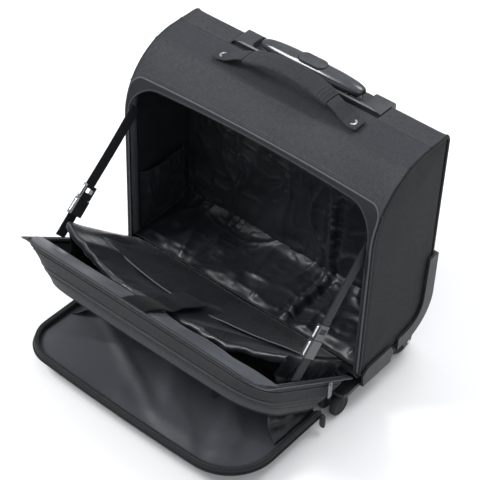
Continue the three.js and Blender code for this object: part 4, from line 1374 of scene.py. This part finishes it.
def build_organizer_gusset(label, side):
    """An end gusset, folded between the wall's end and the door's side."""
    t = np.linspace(0, 1, 40)
    w = np.linspace(0, 1, 26)
    grid = np.zeros((len(t), len(w), 3))
    edge = np.stack(organizer_surface(np.full(len(t), side * 190.0), t), 1)
    for k, value in enumerate(w):
        fold = 15 * (1 - abs(2 * value - 1)) * (0.35 + 0.65 * t)
        y = edge[:, 1] * (1 - value) + (-122) * value
        z = edge[:, 2] - (6 + 30 * t) * value**1.4 * t
        grid[:, k] = np.column_stack([side * (190 - fold + 4 * value), y, z])
    flat = grid.reshape(-1, 3)
    flat[:, 0] += 1.8 * rough(flat, 26, 181 + side, 3)
    gusset = sheet(f"organizer_gusset_{label}", flat.reshape(grid.shape), 0.9, POCKET_SATIN, "door",
                   flip=side > 0, turn=door_open, slot="lining_nylon")
    declared(gusset, 70, 175, "folded", ["organizer_wall"], share=0.8)


def build_hook_strap():
    """The strap from the rim over the wall's top edge. It slants to the right on its way down."""
    count = 50
    line = resampled(np.array(STRAP_PATH), count=count)
    slant = 4 * np.linspace(0, 1, count)
    grid = []
    for k, x in enumerate(np.linspace(-25, 15, 13)):
        lift = 0.7 * math.sin(math.pi * k / 12)
        grid.append(np.column_stack([x + slant, line[:, 0] + lift + 1.2, line[:, 1]]))
    strap = sheet("hook_strap_webbing", np.array(grid), 1.4, HOOK_WEBBING, "door", flip=False, turn=door_open,
                  slot="webbing", replaces=["hook_strap"])
    declared(strap, 40, 142, "laid", ["organizer_wall"])
    rows = []
    for x in (-23.5, 14):
        rows.append(stitch_mesh(np.column_stack([x + slant, line[:, 0] + 1.6, line[:, 1]]), (0, 1, 0)))
    rows_piece("hook_strap_stitching", rows, THREAD, "door", door_open)


def build_organizer():
    build_organizer_wall()
    build_organizer_pocket()
    for label, side in SIDES:
        build_organizer_gusset(label, side)
    build_hook_strap()


# Front pocket flap


def build_flap_panel():
    """The flap's outer panel and its creased inner lining."""
    outer = arch_grid(FLAP_OUTLINE, 1.0, -146.4, 60, 34, 16)
    swell = np.clip(0.8 * rough(outer.reshape(-1, 3), 110, 191, 2), -0.4, 1.2)
    outer[..., 1] += swell.reshape(outer.shape[:2])
    sheet("flap_outside", outer, 1.2, SHELL_CLOTH, "flap", flip=False, turn=flap_open, slot="shell_fabric",
          replaces=["flap_panel"])
    inner = arch_grid(FLAP_OUTLINE, 6.5, -144.9, 90, 44, 16)
    flat = inner.reshape(-1, 3)
    edge = edge_distance(flat, FLAP_OUTLINE)
    wave = 1.2 * rough(flat, 90, 201, 2)
    wave += 5.0 * folds(flat, (0.55, 0, 0.84), 150, 202, warp=0.9, sharp=2.2, cover=0.3)
    wave += 3.6 * folds(flat, (0.9, 0, -0.3), 110, 203, warp=1.3, sharp=2.0, cover=0.1)
    for x, z, lean, width, height in FLAP_FOLDS:
        away = (flat[:, 0] - x) * math.cos(lean) - (flat[:, 2] - z) * math.sin(lean)
        wave += height * np.exp(-((away + 12 * noise(flat / 60, 205)) / width) ** 2)
    held = np.clip((edge - 5) / 24, 0, 1)
    inner[..., 1] += (np.clip(wave, -0.3, 9) * held).reshape(inner.shape[:2])
    satin = sheet("flap_inside", inner, 0.7, FLAP_SATIN, "flap", flip=True, turn=flap_open,
                  slot="lining_nylon")
    declared(satin, 391, 172, "stretched", ["flap_outside"], share=0.93)


def flap_line(inset):
    return over_arch(FLAP_OUTLINE, inset, legs=40, bends=18, top=50)


def build_flap_rim():
    """The raised rim with its stitches, zip teeth and binding."""
    line, inside = flap_line(0.6), flap_line(8.2)

    def between(t, y):
        return at_depth(line * (1 - t) + inside * t, y)

    grid = np.array([between(t, y) for t, y in RIM_SECTION])
    sheet("flap_rim_tape", grid, 1.0, ZIP_TAPE, "flap", flip=True, turn=flap_open, slot="webbing",
          replaces=["flap_rim"])
    rows = [stitch_mesh(between(t, y), (0, 1, 0)) for t, y in ((0.22, -135.2), (0.9, -136.9))]
    rows_piece("flap_stitching", rows, THREAD, "flap", flap_open)
    teeth = teeth_mesh(between(0.62, -136.6), (0, 1, 0), pitch=2.6)
    rows_piece("flap_zip_teeth", [teeth], TEETH, "flap", flap_open)
    binding = at_depth(flap_line(0.0), -145.4)
    tube("flap_binding", binding, 1.5, PIPING, "flap", turn=flap_open, slot="webbing")


def build_flap_gusset(label, side):
    """A folded cloth gusset between the door's face and the flap."""
    door_y, flap_y = -137.5, -143.0
    reach = np.linspace(0, 1, 34)
    spread = np.linspace(0, 1, 22)
    grid = np.zeros((len(reach), len(spread), 3))
    for i, r in enumerate(reach):
        z = 42 + 80 * r
        near = np.array([side * 190, door_y, z])
        far = turn_x([[side * 190, flap_y, z]], FLAP_AXIS, FLAP_OPEN)[0]
        for k, s in enumerate(spread):
            p = near * (1 - s) + far * s
            p[0] -= side * (24 * math.sin(math.pi * s) * r)
            p[2] -= 8 * math.sin(math.pi * s) * r
            grid[i, k] = p
    flat = grid.reshape(-1, 3)
    flat[:, 0] += 2.2 * rough(flat, 30, 211 + side, 3)
    r = np.repeat(reach, len(spread))
    flat[:, 0] -= side * 4 * folds(flat, (0, 0.6, 0.8), 26, 212) * r
    look = POCKET_SATIN if side > 0 else LINING_SATIN
    gusset = sheet(f"flap_gusset_cloth_{label}", flat.reshape(grid.shape), 0.8, look, None, flip=side > 0,
                   turn=door_open, slot="lining_nylon", replaces=[f"flap_gusset_{label}"])
    declared(gusset, 62, 84, "folded", ["flap_outside"], share=0.75)
    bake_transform(gusset)


def build_flap():
    build_flap_panel()
    build_flap_rim()
    for label, side in SIDES:
        build_flap_gusset(label, side)


# Carry handle


def build_carry_grip():
    """The padded grip, crowned along its spine, with three short rows of stitches at each end."""
    grip_half, centre_y = 70, 13
    u = np.linspace(-1, 1, 90)
    angle = np.linspace(0, 2 * math.pi, 48, endpoint=False)
    spine = 355 + 13 * (1 - u**2)
    wide = 17 * (1 - 0.1 * u**8)
    thick = 6 * (1 - 0.45 * u**10)
    c, n = np.cos(angle), np.sin(angle)
    y = wide[:, None] * (np.sign(c) * np.abs(c) ** 0.7)[None]
    z = thick[:, None] * (np.sign(n) * np.abs(n) ** 0.85)[None]
    along = np.broadcast_to((grip_half * u)[:, None], y.shape)
    grid = np.stack([along, centre_y + y, spine[:, None] + z], -1)
    ridge = 1.0 * np.exp(-((y / 2.2) ** 2)) * (z > 0) * (1 - np.abs(u) ** 6)[:, None]
    pad = 0.5 * rough(grid.reshape(-1, 3), 34, 221, 2).reshape(y.shape)
    grid[..., 2] += ridge - 0.5 + np.sign(z) * np.minimum(pad, 0.3)
    rows, columns = grid.shape[:2]
    points = grid.reshape(-1, 3)
    faces = [list(q) for q in grid_quads(rows, columns, closed=True)]
    faces.append(list(range(columns)))
    faces.append(list(range(rows * columns - 1, (rows - 1) * columns - 1, -1)))
    grip = make("carry_grip_pad", points, faces, HANDLE_CLOTH, "carry_handle", uv=points[:, :2],
                slot="shell_fabric", replaces=["carry_grip"])
    rows = []
    upper = np.where((angle > 0.35) & (angle < math.pi - 0.35))[0]
    for place in (0.78, 0.84, 0.9):
        for _, side in SIDES:
            row = int(np.argmin(np.abs(u - side * place)))
            rows.append(stitch_mesh(grid[row, upper] + (0, 0, 0.3), (0, 0, 1), pitch=3.0, long=2.2))
    rows_piece("carry_grip_stitching", rows, THREAD, "carry_handle")


def build_carry_end(label, side):
    """The webbing end under a rivet, which widens towards the grip."""
    path = resampled(CARRY_END_PATH, count=40)
    t = np.linspace(0, 1, 40)
    wide = 12 - 1.2 * np.exp(-((t - 0.02) / 0.06) ** 2)
    grid = []
    for k in np.linspace(-1, 1, 15):
        lift = 0.5 * math.cos(k * math.pi / 2)
        grid.append(np.column_stack([side * path[:, 0], 8 + 4 * t + wide * k, path[:, 1] + lift]))
    end = sheet(f"carry_end_{label}", np.array(grid), 1.8, HANDLE_CLOTH, None, flip=side < 0, slot="webbing",
                replaces=[f"carry_webbing_{label}"])
    declared(end, 24, 56, "folded", [f"rivet_{label}"])
    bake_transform(end)


def build_carry_handle():
    build_carry_grip()
    for label, side in SIDES:
        build_carry_end(label, side)


# Door stays


def stay_grid(stay, low, high, bow=0.0, rows=60, width=22):
    """A strip of webbing along a stay, from low to high millimetres from its door end."""
    foot, head = np.array(stay["door"], float), np.array(stay["shell"], float)
    along = (head - foot) / np.linalg.norm(head - foot)
    across = np.array([-along[1], along[0]])
    s = np.linspace(low, high, rows)
    t = (s - low) / (high - low)
    grid = []
    for a in np.linspace(-width / 2, width / 2, 9):
        yz = foot + along * s[:, None] + across * a
        x = stay["side"] * (stay["x"] + 0.8 + bow * np.sin(math.pi * t))
        grid.append(np.column_stack([x, yz]))
    return np.array(grid), along, across, foot


def build_stays():
    for label, stay in STAYS.items():
        foot, head = np.array(stay["door"], float), np.array(stay["shell"], float)
        length = float(np.linalg.norm(head - foot))
        side = stay["side"]
        grid, along, across, foot = stay_grid(stay, 2, 37, rows=20)
        lower = sheet(f"stay_lower_webbing_{label}", grid, 1.6, WEBBING, "door", flip=side > 0,
                      slot="webbing", replaces=[f"stay_lower_{label}"])
        declared(lower, 22, 35, "stretched", ["door_gusset_rim"])
        grid = stay_grid(stay, 83, length - 1, bow=-0.8)[0]
        upper = sheet(f"stay_upper_webbing_{label}", grid, 1.6, WEBBING, None, flip=side > 0, slot="webbing",
                      replaces=[f"stay_upper_{label}"])
        declared(upper, 22, length - 84, "stretched", ["opening_facing_" + label])
        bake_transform(upper)
        # Thin bright silver bars along the camera-facing edge of each socket and plug stand in for the
        # highlights along the buckle's edge: painted highlights.
        for name, body, low, high in (("socket", "door", 39, 59), ("plug", f"buckle_{label}", 65, 81)):
            ends = [foot + along * low + across * 14.4, foot + along * high + across * 14.0]
            path = resampled([[side * stay["x"], *p] for p in ends], count=12)
            tube(f"buckle_highlight_bar_{name}_{label}", path, 1.3, BUCKLE_HIGHLIGHT_METAL, body, sides=12, slot="steel")


# Hard parts that keep their CAD shape

KEPT = {
    "base_moulding": HARD_PLASTIC,
    "handle_bezel": BEZEL_PLASTIC,
    "trolley_button": BUTTON_PLASTIC,
    "trolley_grip": GRIP_PLASTIC,
    "pocket_zip_pull": BUCKLE_PLASTIC,
    "main_zip_pull": GUNMETAL,
}
KEPT_PAIRS = {
    "rear_guard": HARD_PLASTIC,
    "caster_housing": HARD_PLASTIC,
    "rear_wheel": RUBBER,
    "caster_wheels": RUBBER,
    "buckle_plug": BUCKLE_PLASTIC,
    "buckle_socket": BUCKLE_PLASTIC,
    "outer_tube": ALUMINIUM,
    "middle_tube": ALUMINIUM,
    "inner_tube": ALUMINIUM,
    "rear_axle": STEEL,
    "rivet": STEEL,
}
SOFT_EDGES = {"handle_bezel": 2.4, "rear_guard": 1.5, "base_moulding": 1.2}


def finish_hard_part(node, material, edge):
    """Gives a CAD node its material and edges rounded by edge millimetres."""
    node.data.materials.clear()
    node.data.materials.append(material)
    normals = node.data.attributes.get("custom_normal")
    if normals:
        node.data.attributes.remove(normals)
    node.data.shade_smooth()
    weld = node.modifiers.new("Weld", "WELD")
    weld.merge_threshold = 0.00001
    bevel = node.modifiers.new("Edges", "BEVEL")
    bevel.width = edge / 1000
    bevel.segments = 3
    bevel.limit_method = "ANGLE"
    bevel.angle_limit = math.radians(32)
    bevel.harden_normals = True


def build_hard_parts():
    nodes = frame["nodes"]
    for name, material in KEPT.items():
        finish_hard_part(nodes[name], material, SOFT_EDGES.get(name, 0.5))
    for name, material in KEPT_PAIRS.items():
        for label, _ in SIDES:
            finish_hard_part(nodes[f"{name}_{label}"], material, SOFT_EDGES.get(name, 0.5))


# The whole case

build_shell()
build_opening()
build_lining()
build_door()
build_organizer()
build_flap()
build_carry_handle()
build_stays()
build_hard_parts()

# Stage, lights and camera

HORIZON, ZENITH = 0.3, 0.9
# Angles in degrees, distance and target in the case's millimetres
CAMERA = {"azimuth": 38.7, "elevation": 42.4, "roll": 2.0, "distance": 2345, "target": (-64, 0, 35),
          "lens": 120}
# Name, place in metres, size and power of each lamp
LIGHTS = [
    ("key", (-1.6, -1.1, 2.2), 1.1, 56),
    ("fill", (1.6, -2.2, 1.8), 2.0, 9),
    ("top", (0.4, 0.9, 2.4), 1.4, 30),
]


def build_stage():
    bpy.ops.mesh.primitive_plane_add(size=12, location=(0, 0, 0))
    floor = bpy.context.object
    floor.name = "floor"
    paper = Shader("floor_white")
    paper.set(Base_Color=(0.93, 0.93, 0.935, 1), Roughness=1.0, Specular_IOR_Level=0.0)
    floor.data.materials.append(paper.material)
    world = bpy.data.worlds.new("studio")
    world.use_nodes = True
    bpy.context.scene.world = world
    background = world.node_tree.nodes["Background"]
    background.inputs["Color"].default_value = (0.95, 0.97, 1.0, 1)
    links, nodes = world.node_tree.links, world.node_tree.nodes
    direction = nodes.new("ShaderNodeTexCoord")
    apart = nodes.new("ShaderNodeSeparateXYZ")
    height = nodes.new("ShaderNodeMapRange")
    for socket, value in zip(("From Min", "From Max", "To Min", "To Max"), (0.0, 0.9, HORIZON, ZENITH)):
        height.inputs[socket].default_value = value
    links.new(direction.outputs["Generated"], apart.inputs[0])
    links.new(apart.outputs[2], height.inputs["Value"])
    links.new(height.outputs[0], background.inputs["Strength"])
    bpy.context.scene.view_settings.view_transform = "Standard"


def add_light(name, place, size, power, target=(0, 0, 0.2)):
    light = bpy.data.lights.new(name, "AREA")
    light.shape = "DISK"
    light.size = size
    light.energy = power
    lamp = bpy.data.objects.new(name, light)
    bpy.context.scene.collection.objects.link(lamp)
    lamp.location = place
    lamp.rotation_euler = (Vector(target) - Vector(place)).to_track_quat("-Z", "Y").to_euler()


def place_camera():
    azimuth, elevation, roll = (math.radians(CAMERA[key]) for key in ("azimuth", "elevation", "roll"))
    level = math.cos(elevation)
    back = Vector((math.sin(azimuth) * level, -math.cos(azimuth) * level, math.sin(elevation)))
    side = Vector((0, 0, 1)).cross(back).normalized()
    up = back.cross(side)
    right = side * math.cos(roll) + up * math.sin(roll)
    upward = up * math.cos(roll) - side * math.sin(roll)
    target = Vector(in_row([CAMERA["target"]])[0])
    data = bpy.data.cameras.new("camera")
    data.lens = CAMERA["lens"]
    data.sensor_width = 36
    camera = bpy.data.objects.new("camera", data)
    bpy.context.scene.collection.objects.link(camera)
    camera.matrix_world = Matrix((right, upward, back)).transposed().to_4x4()
    camera.location = target + back * CAMERA["distance"] / 1000
    bpy.context.scene.camera = camera


build_stage()
for lamp in LIGHTS:
    add_light(*lamp)
place_camera()
